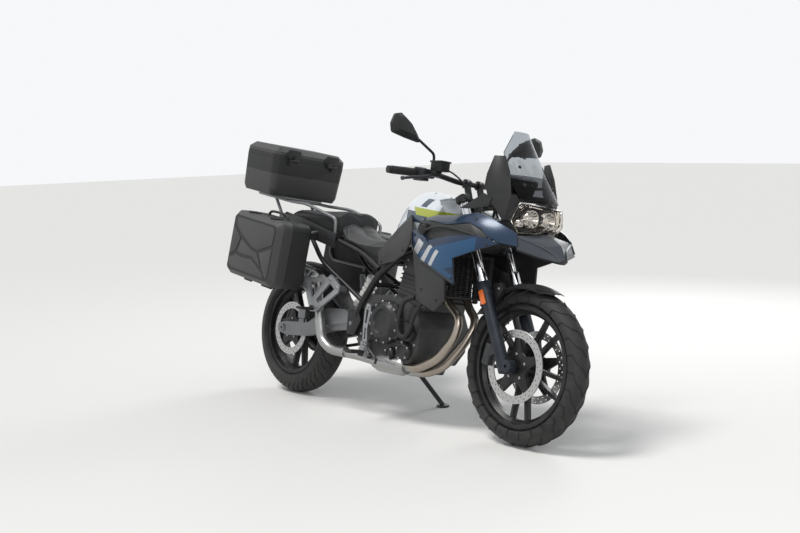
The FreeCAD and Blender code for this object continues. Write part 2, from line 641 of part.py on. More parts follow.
node("rear_shock", fuse([shock, shock_eye]).cut(rear_frame))

# Chain: one loop round both sprockets, its edge scalloped link by link
FRONT_SPROCKET = V(655, 0, 395)
front_pitch_r = CHAIN_PITCH / 2 / math.sin(math.pi / FRONT_TEETH)
rear_pitch_r = CHAIN_PITCH / 2 / math.sin(math.pi / REAR_TEETH)


def chain_loop():
    """Points along the chain's middle line and their outward normals, one for each half link."""
    run = FRONT_SPROCKET - V(0, 0, REAR_R)
    flat = math.hypot(run.x, run.z)
    tilt = math.atan2(run.z, run.x)
    spread = math.acos((rear_pitch_r - front_pitch_r) / flat)
    straight = math.sqrt(flat ** 2 - (rear_pitch_r - front_pitch_r) ** 2)
    rear_arc = 2 * math.pi - 2 * spread
    front_arc = 2 * spread
    total = 2 * straight + rear_arc * rear_pitch_r + front_arc * front_pitch_r
    count = 2 * round(total / CHAIN_PITCH)
    places = []
    for i in range(count):
        s = total * i / count
        if s < rear_arc * rear_pitch_r:
            angle = tilt + spread + s / rear_pitch_r
            places.append((V(0, 0, REAR_R) + V(math.cos(angle), 0, math.sin(angle)) * rear_pitch_r,
                           V(math.cos(angle), 0, math.sin(angle))))
            continue
        s -= rear_arc * rear_pitch_r
        low = tilt - spread
        if s < straight:
            normal = V(math.cos(low), 0, math.sin(low))
            start = V(0, 0, REAR_R) + normal * rear_pitch_r
            end = V(FRONT_SPROCKET.x, 0, FRONT_SPROCKET.z) + normal * front_pitch_r
            places.append((start + (end - start) * (s / straight), normal))
            continue
        s -= straight
        if s < front_arc * front_pitch_r:
            angle = low + s / front_pitch_r
            places.append((V(FRONT_SPROCKET.x, 0, FRONT_SPROCKET.z) + V(math.cos(angle), 0,
                math.sin(angle)) * front_pitch_r,
                           V(math.cos(angle), 0, math.sin(angle))))
            continue
        s -= front_arc * front_pitch_r
        high = tilt + spread
        normal = V(math.cos(high), 0, math.sin(high))
        start = V(FRONT_SPROCKET.x, 0, FRONT_SPROCKET.z) + normal * front_pitch_r
        end = V(0, 0, REAR_R) + normal * rear_pitch_r
        places.append((start + (end - start) * (s / straight), normal))
    return places


def chain_band(y0, y1, wide, narrow):
    places = chain_loop()
    outer, inner = [], []
    for i, (spot, normal) in enumerate(places):
        half = wide if i % 2 == 0 else narrow
        outer.append(spot + normal * half + V(0, y0, 0))
        inner.append(spot - normal * half + V(0, y0, 0))
    band = flat_face([Part.makePolygon(outer + [outer[0]]), Part.makePolygon(inner + [inner[0]])])
    return band.extrude(V(0, y1 - y0, 0))


chain_sides = [chain_band(CHAIN_Y - CHAIN_HALF_W, CHAIN_Y - 4, 7.5, 5.0),
               chain_band(CHAIN_Y + 4, CHAIN_Y + CHAIN_HALF_W, 7.5, 5.0)]
pins = []
for i, (spot, normal) in enumerate(chain_loop()):
    if i % 8 == 0 and (spot - V(0, 0, REAR_R)).Length > rear_pitch_r + 14:
        pins.append(rod(V(spot.x, CHAIN_Y - 6, spot.z), V(spot.x, CHAIN_Y + 6, spot.z), 3.0))
node("chain", fuse(chain_sides + pins))

# Engine: crankcase, leaning cylinder block, head and cam cover
CASE_HALF = 146.0
HEAD_HALF = 122.0
case = side_plate([(602, 470), (640, 540), (860, 560), (1000, 520), (1050, 430), (1040, 330), (985, 262),
                   (720, 250), (640, 300),
                   (600, 350)], -CASE_HALF, CASE_HALF, 22)
block = side_plate([(838, 540), (1030, 500), (1062, 640), (868, 672)], -HEAD_HALF, HEAD_HALF, 8)
head_low = side_plate([(862, 672), (1066, 640), (1082, 720), (880, 752)], -HEAD_HALF - 6, HEAD_HALF + 6, 10)
cam_cover = side_plate([(888, 744), (1072, 715), (1078, 762), (1052, 790), (918, 800), (894, 786)],
                       -HEAD_HALF + 8, HEAD_HALF - 8, 12)
FIN_COUNT = 5
fins = []
for i in range(FIN_COUNT):
    z = 575 + i * 20
    fins.append(side_plate([(842 + i * 5, z), (1050 + i * 4, z - 34), (1050 + i * 4, z - 28),
                            (842 + i * 5, z + 6)],
                           -HEAD_HALF - 8, HEAD_HALF + 8))
sump = side_plate([(735, 262), (980, 262), (955, 214), (770, 214)], -70, 105, 10)
chain_pocket = box(590, 716, CHAIN_Y - CHAIN_HALF_W - 8, CASE_HALF + 10, 330, 462)
engine = fuse([case, block, head_low, cam_cover, sump] + fins).cut(chain_pocket)
frame_room = both_sides(bent_tube(beam_route, 16 + TOUCH, 0.3)) + both_sides(bent_tube(down_route,
    13 + TOUCH, 0.4))
frame_room += both_sides(box(530, 650, ARM_OUT_Y + 3 - TOUCH, 160, 338, 476))
frame_room += [rod(V(820, -160, 706), V(820, 160, 706), 11 + TOUCH),
               box(590, 800, 84, 160, 200, STAND_CEILING_Z)]
engine = engine.cut(fuse(frame_room))
node("engine_block", engine)


def round_cover(x, z, radius, depth, dish, side):
    """Cast cover, stepped and dished, on one side of the crankcase."""
    y = CASE_HALF + TOUCH
    profile = [(0, y), (radius, y), (radius, y + depth * 0.45), (radius * 0.93, y + depth * 0.72),
               (radius * 0.74, y + depth),
               (radius * 0.58, y + depth), (radius * 0.52, y + depth - dish), (0, y + depth - dish)]
    cover = revolved(profile, V(x, 0, z))
    return cover if side > 0 else cover.mirror(ZERO, Y_AXIS)


clutch_cover = round_cover(828, 432, 98, 46, 9, -1)
pump_cover = round_cover(968, 318, 42, 30, 6, -1)
small_cover = round_cover(872, 300, 26, 22, 5, -1)
generator_cover = round_cover(930, 400, 86, 40, 7, 1)
sprocket_cover = side_plate([(656, 352), (656, 452), (668, 464), (716, 440), (722, 370), (694, 334)],
                            CASE_HALF + TOUCH,
                            CASE_HALF + 16, 14)
starter = rod(V(900, -CASE_HALF - TOUCH, 500), V(900, -CASE_HALF - 34, 500), 20)
bridge = side_plate([(880, 470), (1000, 440), (1030, 400), (1010, 360), (940, 380), (900, 350)],
                    -CASE_HALF - 26, -CASE_HALF - TOUCH, 14)
right_covers = fuse([clutch_cover, pump_cover, small_cover, starter, bridge])
node("engine_covers", right_covers, generator_cover, sprocket_cover)

# Coolant hoses: a loop on the right side, and one to the radiator
hose_a = bent_tube([V(1000, -158, 560), V(958, -183, 540), V(942, -189, 470), V(948, -189, 400),
                    V(985, -187, 372), V(1016, -183, 410),
                    V(1026, -176, 480), V(1060, -160, 545)], 11, 0.42)
node("coolant_hoses", hose_a.cut(right_covers).cut(engine).cut(frame))

# Radiator with side tanks and cooling slats
RAD_X0, RAD_X1 = 1128.0, 1158.0
RAD_Z0, RAD_Z1 = 572.0, 770.0
RAD_HALF = 150.0
SLAT_COUNT = 18
rad_frame = box(RAD_X0, RAD_X1, -RAD_HALF, RAD_HALF, RAD_Z0, RAD_Z1)
rad_window = box(RAD_X0 - 1, RAD_X1 + 1, -RAD_HALF + 24, RAD_HALF - 24, RAD_Z0 + 10, RAD_Z1 - 10)
slats = [rad_frame.cut(rad_window)]
for i in range(SLAT_COUNT):
    z = RAD_Z0 + 10 + (i + 0.5) * (RAD_Z1 - RAD_Z0 - 20) / SLAT_COUNT
    slats.append(box(RAD_X0 + 4, RAD_X1 - 4, -RAD_HALF + 23, RAD_HALF - 23, z - 1.5, z + 1.5))
tubes_up = [box(RAD_X0 + 6, RAD_X1 - 6, y - 1.5, y + 1.5, RAD_Z0 + 9, RAD_Z1 - 9) for y in range(-120, 121,
    30)]
radiator = fuse(slats + tubes_up)
radiator = radiator.cut(frame)
node("radiator", radiator)

# Exhaust: two header pipes round the front of the engine, collector, link pipe and silencer
PIPE_R = 19.0
header_right = bent_tube([V(1068, -62, 694), V(1101, -62, 690), V(1099, -62, 560), V(1204, -64, 490),
                          V(1192, -74, 400),
                          V(1122, -96, 300), V(1030, -116, 250), V(950, -122, 244)], PIPE_R, 0.42)
header_left = bent_tube([V(1068, 62, 694), V(1101, 62, 690), V(1099, 60, 560), V(1200, 44, 480),
                         V(1182, 6, 388), V(1108, -36, 268),
                         V(1020, -60, 226), V(935, -88, 226)], PIPE_R, 0.42)
collector_profile = [(0, 0), (34, 0), (42, 22), (44, 90), (42, 170), (30, 208), (0, 208)]


def along_x(profile, origin, toward):
    """Solid of revolution whose profile is (radius, distance) from origin along toward."""
    points = [V(r, d, 0) for r, d in profile]
    solid = Part.Face(Part.makePolygon(points + [points[0]])).revolve(ZERO, Y_AXIS, 360)
    turn = FreeCAD.Rotation(Y_AXIS, toward)
    solid.Placement = FreeCAD.Placement(origin, turn)
    return solid


collector = along_x(collector_profile, V(955, -118, 246), V(-1, -0.05, 0))
link_route = [V(760, -128, 246), V(640, -146, 258), V(450, -160, 258), V(368, -162, 300), V(334, -160, 400),
              V(290, -148, 520),
              V(262, -136, 566)]
link = bent_tube(link_route, 21.0, 0.42)
shield = bent_tube([V(560, -157, 262), V(450, -164, 262), V(374, -166, 305), V(342, -164, 395)], 25.0, 0.42)
pipes = fuse([header_right, header_left, collector, link, shield])
pipes = pipes.cut(engine).cut(right_covers)
SILENCER_START = V(268, -130, 574)
SILENCER_END = V(-150, -128, 650)
silencer_run = SILENCER_END - SILENCER_START
SILENCER_R = 50.0
silencer = along_x([(0, 0), (36, 0), (SILENCER_R, 34), (SILENCER_R, 390), (40, 420), (22, 424), (22, 404),
                    (0, 404)], SILENCER_START,
                   silencer_run)
pipes = pipes.cut(silencer)
node("exhaust_pipes", pipes.cut(swing_arm))
node("silencer", silencer)

# Passenger hangers: open cast triangles, footrests folded out
HANGER_Y0, HANGER_Y1 = 183.0, 196.0
hanger_outline = [(176, 628), (204, 632), (232, 590), (408, 600), (430, 616), (506, 566), (500, 536),
                  (340, 430), (296, 428), (246, 520),
                  (190, 558)]
hanger_holes = [([(266, 566), (372, 574), (300, 492)], 6),
                ([(356, 470), (468, 548), (428, 574), (332, 486)], 6)]
hanger = side_plate(hanger_outline, HANGER_Y0, HANGER_Y1, 8, hanger_holes)
hanger_pads = [rod(V(430, 142, 592), V(430, HANGER_Y0 + 1, 592), 12),
               rod(V(486, 142, 556), V(486, HANGER_Y0 + 1, 556), 12)]
peg_plate = rod(V(318, HANGER_Y1 - 1, 446), V(318, HANGER_Y1 + 12, 446), 13)
peg = side_plate([(300, 436), (336, 436), (340, 448), (296, 448)], HANGER_Y1 + 8, HANGER_Y1 + 84, 4)
hanger = fuse([hanger, peg_plate, peg] + hanger_pads).cut(rear_frame)
node("passenger_hangers", *both_sides(hanger))

# Rider footrest plates with pegs, brake pedal on the right and gear lever on the left
PLATE_Y0, PLATE_Y1 = 165.0, 175.0
plate_outline = [(700, 506), (724, 498), (730, 462), (716, 390), (724, 330), (744, 286), (724, 254),
                 (690, 258), (668, 284), (692, 330),
                 (686, 400), (686, 470)]
plate_hole = [([(698, 478), (716, 474), (708, 412), (696, 412)], 4),
              ([(698, 392), (708, 392), (710, 340), (700, 340)], 3)]
plate = side_plate(plate_outline, PLATE_Y0, PLATE_Y1, 6, plate_hole)
plate_top = rod(V(706, CASE_HALF + TOUCH, 490), V(706, PLATE_Y0 + 1, 490), 8)
plate_low = rod(V(700, CASE_HALF + TOUCH, 330), V(700, PLATE_Y0 + 1, 330), 8)
peg_arm = side_plate([(686, 262), (728, 262), (732, 300), (690, 302)], PLATE_Y1 - 1, PLATE_Y1 + 16, 6)
peg_bar = side_plate([(690, 274), (730, 274), (734, 290), (686, 290)], PLATE_Y1 + 14, PLATE_Y1 + 92, 5)
plate_parts = [plate, plate_top, plate_low, peg_arm, peg_bar]
pedal = bent_tube([V(716, 184, 322), V(776, 204, 306), V(850, 212, 262), V(880, 242, 250)], 6, 0.35)
pedal_pivot = rod(V(714, PLATE_Y1 - 1, 322), V(714, PLATE_Y1 + 20, 322), 10)
gear = bent_tube([V(712, 184, 324), V(790, 200, 300), V(868, 206, 290), V(876, 244, 288)], 5.5, 0.35)
gear_pivot = rod(V(712, PLATE_Y1 - 1, 324), V(712, PLATE_Y1 + 16, 324), 9)
right_rest = fuse(plate_parts + [pedal, pedal_pivot]).mirror(ZERO, Y_AXIS)
left_rest = fuse(plate_parts + [gear, gear_pivot])
rests = [right_rest.cut(right_covers).cut(pipes), left_rest.cut(sprocket_cover)]
node("footrests", *rests)

# Fuel tank cover: lofted sections from the seat to the steering head
TANK_SECTIONS = (  # x, half width, bottom z, side z, shoulder z, top z
    (700, 62, 742, 768, 790, 806),
    (762, 104, 768, 806, 880, 926),
    (850, 142, 800, 868, 968, 1014),
    (1000, 176, 800, 900, 986, 1016),
    (1112, 182, 850, 896, 966, 990),
)


def tank_section(x, half, low, side, shoulder, top):
    left = [V(x, half, side), V(x, half * 0.84, shoulder), V(x, 0, top)]
    right = [V(x, -half * 0.84, shoulder), V(x, -half, side)]
    edges = [Part.Arc(left[0], left[1], left[2]).toShape(), Part.Arc(left[2], right[0], right[1]).toShape(),
             Part.LineSegment(right[1], V(x, -half * 0.8, low)).toShape(),
             Part.LineSegment(V(x, -half * 0.8, low), V(x, half * 0.8, low)).toShape(),
             Part.LineSegment(V(x, half * 0.8, low), left[0]).toShape()]
    return Part.Wire(edges)


fork_sweep = [(160, -150), (160, 150), (-62, 150), (-86, 126), (-86, 106), (-60, 36), (-50, 8),
              (-50, -8), (-60, -36), (-86, -106), (-86, -126), (-62, -150)]
fork_room = steered(Part.Face(Part.makePolygon([V(x, y, 860) for x,
                                                y in fork_sweep + fork_sweep[:1]])).extrude(V(0, 0, 300)))
tank = Part.makeLoft([tank_section(*row) for row in TANK_SECTIONS], True, False)
tank = tank.cut(frame).cut(fork_room)
tank = main_piece(tank)
tank = fuse([tank, rod(V(905, 0, 985), V(905, 0, 1023), 34)])
node("tank_cover", tank)

# Body panels, from named outside points (x, y, z) on the left, thickened inwards
PANEL = V(0, -10, 0)


def panel(points, faces, wall=PANEL):
    return folded_panel({k: V(*p) for k, p in points.items()}, faces, wall)


knee_points = {"a": (934, 172, 922), "b": (846, 172, 850), "c": (741, 180, 742), "d": (752, 181, 684),
               "e": (870, 192, 706),
               "f": (950, 206, 742), "g": (990, 214, 790), "h": (996, 212, 850), "k": (905, 196, 800)}
knee = panel(knee_points, ["abk", "bck", "cdk", "dek", "efk", "fgk", "ghk", "hak"])
side_points = {"a": (998, 214, 852), "b": (1010, 218, 778), "c": (1098, 244, 722), "d": (1336, 250, 634),
               "e": (1322, 262, 745),
               "f": (1395, 258, 768), "g": (1462, 248, 792), "h": (1536, 214, 820), "i": (1492, 238, 838),
               "j": (1428, 250, 846),
               "k": (1292, 252, 838), "l": (1134, 236, 815), "m": (1070, 226, 850), "n": (1180, 262, 775)}
side = panel(side_points, ["abn", "bcn", "cdn", "den", "efn", "fgjn", "ghij", "jkn", "kln", "lmn", "man"])
strip_points = {"a": (1000, 190, 900), "b": (1144, 224, 897), "c": (1236, 236, 884), "d": (1374, 236, 898),
                "e": (1446, 234, 876),
                "f": (1480, 232, 846), "g": (1540, 212, 824), "h": (1606, 178, 816), "i": (1584, 168, 868),
                "j": (1538, 186, 894),
                "k": (1456, 200, 928), "l": (1380, 202, 944), "m": (1268, 202, 928), "n": (1130, 192, 925)}
strip = panel(strip_points, ["abn", "bcmn", "cdlm", "dekl", "efgjk", "ghij"])
scoop_points = {"a": (1072, 214, 862), "b": (1144, 218, 900), "c": (1240, 230, 890), "d": (1374, 230, 903),
                "e": (1444, 228, 878),
                "f": (1484, 226, 842), "g": (1428, 246, 836), "h": (1292, 248, 826), "i": (1134, 230, 802)}
scoop = panel(scoop_points, ["abi", "bchi", "cdgh", "defg"], V(0, -6, 0))
lower_points = {"a": (1016, 216, 776), "b": (1098, 238, 732), "c": (1268, 246, 672), "d": (1258, 222, 566),
                "e": (1170, 196, 512),
                "f": (1062, 198, 548), "g": (1140, 232, 640)}
lower = panel(lower_points, ["abg", "bcg", "cdg", "deg", "efg", "fag"])
cap_boss = rod(V(1084, 214, 861), V(1084, 232, 861), 27)
trim = side.cut(cap_boss)
node("knee_panels", *both_sides(knee.cut(tank)))
node("side_fairings", *both_sides(trim))
node("upper_strips", *both_sides(strip.cut(tank).cut(side).cut(cap_boss)))
scoop = scoop.cut(side).cut(strip).cut(cap_boss)
lower = lower.cut(side)
node("inner_fairings", *both_sides(scoop), *both_sides(lower), *both_sides(cap_boss))

# Beak under the headlamp
beak_points = {"a": (1584, 169, 860), "b": (1605, 177, 806), "c": (1645, 80, 782), "d": (1652, 58, 828),
               "e": (1604, 0, 884),
               "f": (1598, 72, 870), "t": (1700, 24, 771), "u": (1714, 0, 785), "v": (1698, 0, 770),
               "w": (1680, 0, 840)}
beak_left = panel(beak_points, ["abd", "bcd", "ctd", "tvu", "tuwd", "dwef", "dfa"], V(-8, -5, -8))
beak = fuse(both_sides(beak_left))


# Headlamp: lamp body with a lens front, two round lamps inside the lens
LAMP_SECTIONS = (  # x, half width low, half width top, low z, top z
    (1462, 146, 104, 884, 960),
    (1530, 142, 102, 884, 1000),
    (1584, 104, 94, 884, 992),
    (1606, 62, 60, 892, 986),
)


def lamp_section(x, low_half, top_half, low, top, shrink=0.0):
    a, b, lo, hi = low_half - shrink, top_half - shrink, low + shrink, top - shrink
    path = [V(x, -a, lo + 36), V(x, -a * 0.62, lo - 12), V(x, 0, lo + 12), V(x, a * 0.62, lo - 12),
            V(x, a, lo + 36),
            V(x, b, hi), V(x, -b, hi)]
    return rounded_wire(path, 9)


lamp_whole = Part.makeLoft([lamp_section(*row) for row in LAMP_SECTIONS], True, True)
LAMP_SPLIT = 1520.0
lens = lamp_whole.common(box(LAMP_SPLIT, 1700, -300, 300, 800, 1100))
lamp_hollow = Part.makeLoft([lamp_section(row[0] - 3, *row[1:], 5.0) for row in LAMP_SECTIONS], True, True)
lens = lens.cut(lamp_hollow)
lamp_back = lamp_whole.common(box(1400, LAMP_SPLIT - TOUCH, -300, 300, 800, 1100))
lamp_bowls = []
for sign in (-1, 1):
    for y, z, radius, depth in ((50, 938, 36, 34), (104, 916, 15, 22)):
        bowl = rod(V(LAMP_SPLIT - 6, sign * y, z), V(LAMP_SPLIT + depth, sign * y, z), radius)
        bowl = bowl.cut(Part.makeCone(radius * 0.4, radius - 3, depth - 4, V(LAMP_SPLIT + 5, sign * y, z),
                                      X_AXIS))
        lamp_bowls.append(bowl)
lamp_body = fuse([lamp_back] + lamp_bowls)
lamp_body = lamp_body.cut(lens)
node("headlamp", lamp_body)
node("headlamp_lens", lens)

# Nose cowl round the lamp
cowl_points = {"a": (1494, 158, 918), "b": (1521, 104, 1004), "c": (1608, 0, 1004), "d": (1590, 0, 1030),
               "e": (1506, 142, 1030),
               "i": (1482, 136, 1122), "h": (1446, 136, 1189), "g": (1404, 160, 1188),
               "f": (1388, 176, 1112), "k": (1390, 184, 1068),
               "m": (1424, 186, 1002), "n": (1450, 178, 1060)}
cowl = panel(cowl_points, ["aem", "enm", "ein", "ihn", "hgn", "gfn", "fkn", "kmn", "abe", "bcde"],
             V(-8, -6, -2))
arm_points = {"a": (1224, 158, 962), "b": (1382, 176, 1028), "c": (1440, 186, 1008), "d": (1426, 188, 972),
              "e": (1306, 168, 962)}
cowl_arm = panel(arm_points, ["abe", "bcde"], V(0, -8, 0))
cowl = fuse([cowl, cowl_arm])
cowl = fuse(both_sides(cowl))
# Windscreen: a clear sheet, each row one arc across
SCREEN_T = 4.0
SCREEN_ROWS = (  # middle x, middle z, half width, sweep back at the edge
    (1596, 1012, 116, 62),
    (1520, 1110, 128, 66),
    (1452, 1210, 104, 50),
    (1404, 1306, 42, 12),
)


def screen_row(x, z, half, sweep, inset):
    front = Part.Arc(V(x - sweep, half, z), V(x, 0, z), V(x - sweep, -half, z)).toShape()
    back = Part.Arc(V(x - sweep - inset, -half, z), V(x - inset, 0, z),
                    V(x - sweep - inset, half, z)).toShape()
    caps = [Part.LineSegment(V(x - sweep, -half, z), V(x - sweep - inset, -half, z)).toShape(),
            Part.LineSegment(V(x - sweep - inset, half, z), V(x - sweep, half, z)).toShape()]
    return Part.Wire([front, caps[0], back, caps[1]])


screen = Part.makeLoft([screen_row(*row, SCREEN_T) for row in SCREEN_ROWS], True, True)
cowl = cowl.cut(lamp_whole).cut(screen)
beak = beak.cut(lamp_whole).cut(cowl).cut(fuse(both_sides(strip)))
node("windscreen", screen)
node("nose_cowl", cowl)
node("beak", beak)

# Instrument binnacle behind the screen
dial_box = soft_box(0, 46, -88, 88, -42, 42, 12)
dial_box.rotate(ZERO, Y_AXIS, 28)
dial_box.translate(V(1385, 0, 1085))

# Stays that carry the nose and the side panels on the frame
stay = bent_tube([V(1196, 0, 958), V(1300, 0, 925), V(1470, 0, 925)], 9, 0.3)
stays = [stay, rod(V(1330, -62, 922), V(1330, 62, 922), 7), rod(V(1425, -64, 925), V(1425, 64, 925), 7)]
for sign in (-1, 1):
    stays.append(bent_tube([V(1330, sign * 58, 920), V(1345, sign * 60, 1010), V(1430, sign * 60, 1074),
                            V(1545, sign * 50, 1074)], 6, 0.3))


def tab(x, z, from_y, target, radius=6.0):
    """Stay along Y that ends against the inside of a panel."""
    line = Part.LineSegment(V(x, from_y, z), V(x, from_y + 300, z)).toShape()
    hit = min(v.Y for v in line.common(target).Vertexes)
    return rod(V(x, from_y, z), V(x, hit + 3, z), radius).cut(target)


TABS = (  # panel, x, z, start y
    (knee, 868, 736, 150),
    (side, 1040, 807, 129),
    (side, 1168, 791, 68),
    (strip, 1425, 905, 60),
    (lower, 1090, 620, 128),
)
for target, x, z, from_y in TABS:
    stays += both_sides(tab(x, z, from_y, target))
stays.append(rod(V(1425, -64, 905), V(1425, 64, 905), 6))
stays.append(rod(V(1425, 0, 900), V(1425, 0, 930), 6))
frame = fuse([frame] + stays).cut(lamp_whole).cut(screen).cut(stem_bore)
frame = frame.cut(tank)
frame = main_piece(frame)
node("main_frame", frame)
node("instruments", dial_box.cut(frame))

# Seats: lofted cushions, the rider's low and the passenger's stepped up
RIDER_SECTIONS = (  # x, half width, bottom z, top z
    (372, 118, 800, 872),
    (420, 128, 762, 822),
    (520, 132, 716, 800),
    (620, 112, 690, 792),
    (704, 74, 690, 796),
)
PILLION_SECTIONS = (
    (-92, 92, 876, 916),
    (40, 122, 846, 918),
    (240, 132, 826, 916),
    (366, 124, 812, 920),
)


def seat_section(x, half, low, top):
    side = top - 24
    edges = [Part.Arc(V(x, half, side), V(x, half * 0.78, top - 5), V(x, 0, top)).toShape(),
             Part.Arc(V(x, 0, top), V(x, -half * 0.78, top - 5), V(x, -half, side)).toShape(),
             Part.LineSegment(V(x, -half, side), V(x, -half * 0.92, low)).toShape(),
             Part.LineSegment(V(x, -half * 0.92, low), V(x, half * 0.92, low)).toShape(),
             Part.LineSegment(V(x, half * 0.92, low), V(x, half, side)).toShape()]
    return Part.Wire(edges)


rider_seat = Part.makeLoft([seat_section(*row) for row in RIDER_SECTIONS], True, True)
pillion_seat = Part.makeLoft([seat_section(*row) for row in PILLION_SECTIONS], True, True)
rail_room = fuse(both_sides(bent_tube([V(722, 146, 665), V(560, RAIL_Y, 735), V(300, RAIL_Y, 800),
                                       V(-150, 108, 868)], 12.5, 0.4)))
rider_seat = rider_seat.cut(rail_room).cut(frame).cut(tank)
pillion_seat = pillion_seat.cut(rail_room).cut(rider_seat)
node("rider_seat", main_piece(rider_seat))
node("pillion_seat", main_piece(pillion_seat))


# Tail cover under the passenger seat, one side panel each way and a closing plate
tail_points = {"a": (372, 148, 812), "b": (372, 150, 742), "c": (60, 140, 800), "d": (-150, 120, 844),
               "e": (-200, 84, 884),
               "f": (-110, 108, 906), "g": (60, 136, 880)}
tail_side = panel(tail_points, ["abcg", "cdfg", "def"], V(0, -6, 0))
tail_side = tail_side.cut(rear_frame).cut(pillion_seat)
tail_back = box(-206, -186, -84, 84, 840, 890)
tail_bridge = box(-200, -130, -60, 60, 852, 876)
strut_route = [V(622, 146, 512), V(430, 142, 602), V(276, 138, 672), V(120, 130, 826)]
strut_room = fuse(both_sides(bent_tube(strut_route, 11.3, 0.35)))
tail_back = fuse([tail_back, tail_bridge] + both_sides(tail_side)).cut(rear_frame).cut(pillion_seat)
tail_back = tail_back.cut(strut_room).cut(rod(V(-120, -110, 863), V(-120, 110, 863), 9 + TOUCH))
node("tail_covers", *tail_back.Solids)

# Rear mudguard over the tyre with the arm for the number plate
hugger = arched_sheet(REAR_AXLE, REAR_R + 24, REAR_HALF + 5, 3.5, 32, 112)
hugger_foot = side_plate([(283, 527), (300, 512), (384, 448), (384, 438), (292, 488), (269, 516)], -60, 44)
silencer_room = rod(SILENCER_START, SILENCER_END, SILENCER_R + 3)
hugger = fuse([hugger, hugger_foot]).cut(swing_arm).cut(silencer_room)
plate_arm = side_plate([(-150, 846), (-200, 846), (-262, 760), (-352, 640), (-352, 600), (-338, 600),
                        (-240, 738), (-150, 812)], -46, 46, 6)
plate_arm = plate_arm.cut(tail_back).cut(rear_frame)
number_plate = box(-5, 0, -90, 90, -75, 75)
for sign in (-1, 1):
    number_plate = number_plate.cut(rod(V(-20, sign * PLATE_PCD / 2, 40), V(20, sign * PLATE_PCD / 2, 40),
                                        PLATE_HOLE_R))
number_plate.rotate(ZERO, Y_AXIS, 14)
number_plate.translate(V(-354, 0, 610))
plate_arm = plate_arm.cut(number_plate)
node("rear_mudguard", main_piece(hugger), main_piece(plate_arm))
node("number_plate", number_plate)

# Tail lamp and rear indicators
tail_lamp = soft_box(-232, -206 - TOUCH, -62, 62, 846, 886, 6)
blinkers = []
for sign in (-1, 1):
    blinkers.append(fuse([rod(V(-262, sign * 44, 748), V(-262, sign * 108, 752), 6),
                          rod(V(-284, sign * 124, 753), V(-242, sign * 124, 753), 22)]))
node("tail_lamps", tail_lamp, *[b.cut(plate_arm) for b in blinkers])

# Cases: rounded blocks lofted along one axis, hollow, parted into shell and lid


def case_wire(half_a, half_b, inset, corner, place):
    pairs = ((-1, -1), (1, -1), (1, 1), (-1, 1))
    points = [place(sa * (half_a - inset), sb * (half_b - inset)) for sa, sb in pairs]
    return rounded_wire(points, corner - inset * 0.8)


def case_block(rows, half_a, half_b, corner, place):
    """Ruled loft through rows of (distance along the axis, inset)."""
    wires = [case_wire(half_a, half_b, inset, corner, lambda a, b, d=distance: place(a, b, d)) for distance,
             inset in rows]
    return Part.makeLoft(wires, True, True)


PITCH = FreeCAD.Rotation(Y_AXIS, CASE_PITCH_DEG)


def pitched(shape, x, z):
    moved = shape.copy()
    moved.Placement = FreeCAD.Placement(V(x, 0, z), PITCH).multiply(moved.Placement)
    return moved


def side_place(a, b, d):
    return V(a, d, b)


pannier_rows = [(PANNIER_IN_Y, 14), (PANNIER_IN_Y + 16, 2), (PANNIER_PART_Y, 0), (PANNIER_OUT_Y - 26, 3),
                (PANNIER_OUT_Y, 26)]
room_rows = [(PANNIER_IN_Y + CASE_WALL, 14 + CASE_WALL), (PANNIER_IN_Y + 18, 2 + CASE_WALL),
             (PANNIER_PART_Y, CASE_WALL),
             (PANNIER_OUT_Y - 28, 3 + CASE_WALL), (PANNIER_OUT_Y - CASE_WALL, 26 + CASE_WALL)]
pannier_block = case_block(pannier_rows, PANNIER_L / 2, PANNIER_H / 2, PANNIER_CORNER, side_place)
pannier_room = case_block(room_rows, PANNIER_L / 2, PANNIER_H / 2, PANNIER_CORNER, side_place)
pannier_wall = pannier_block.cut(pannier_room)
inner_half = box(-400, 400, 0, PANNIER_PART_Y, -400, 400)
outer_half = box(-400, 400, PANNIER_PART_Y + LID_GAP, 600, -400, 400)
pannier_shell = pannier_wall.common(inner_half)
pannier_lid = pannier_wall.common(outer_half)
PANNIER_HINGE_Z = -PANNIER_H / 2 - HINGE_OUT
KNUCKLES = ((-118, -90, "shell"), (-89, -61, "lid"), (61, 89, "lid"), (90, 118, "shell"))


def hinge_part(x0, x1, is_lid):
    """One knuckle on its leaf; the shell's knuckles carry the pins that enter the lid's."""
    centre_y = PANNIER_PART_Y + LID_GAP / 2
    barrel = rod(V(x0, centre_y, PANNIER_HINGE_Z), V(x1, centre_y, PANNIER_HINGE_Z), HINGE_R)
    if is_lid:
        leaf = box(x0, x1, centre_y, centre_y + 22, PANNIER_HINGE_Z - 3, -PANNIER_H / 2 + 3)
        leaf = leaf.cut(box(x0 - 1, x1 + 1, 0, PANNIER_PART_Y + LID_GAP, -400, 400))
        bore = rod(V(x0 - 1, centre_y, PANNIER_HINGE_Z), V(x1 + 1, centre_y, PANNIER_HINGE_Z),
                   HINGE_PIN_R + 0.2)
        return fuse([leaf, barrel]).cut(bore)
    leaf = box(x0, x1, centre_y - 22, centre_y, PANNIER_HINGE_Z - 3, -PANNIER_H / 2 + 3)
    leaf = leaf.cut(box(x0 - 1, x1 + 1, PANNIER_PART_Y, 600, -400, 400))
    inward = 24 if x0 < 0 else -24
    pin = rod(V((x0 + x1) / 2, centre_y, PANNIER_HINGE_Z),
              V((x0 + x1) / 2 + inward, centre_y, PANNIER_HINGE_Z), HINGE_PIN_R)
    return fuse([leaf, barrel, pin])


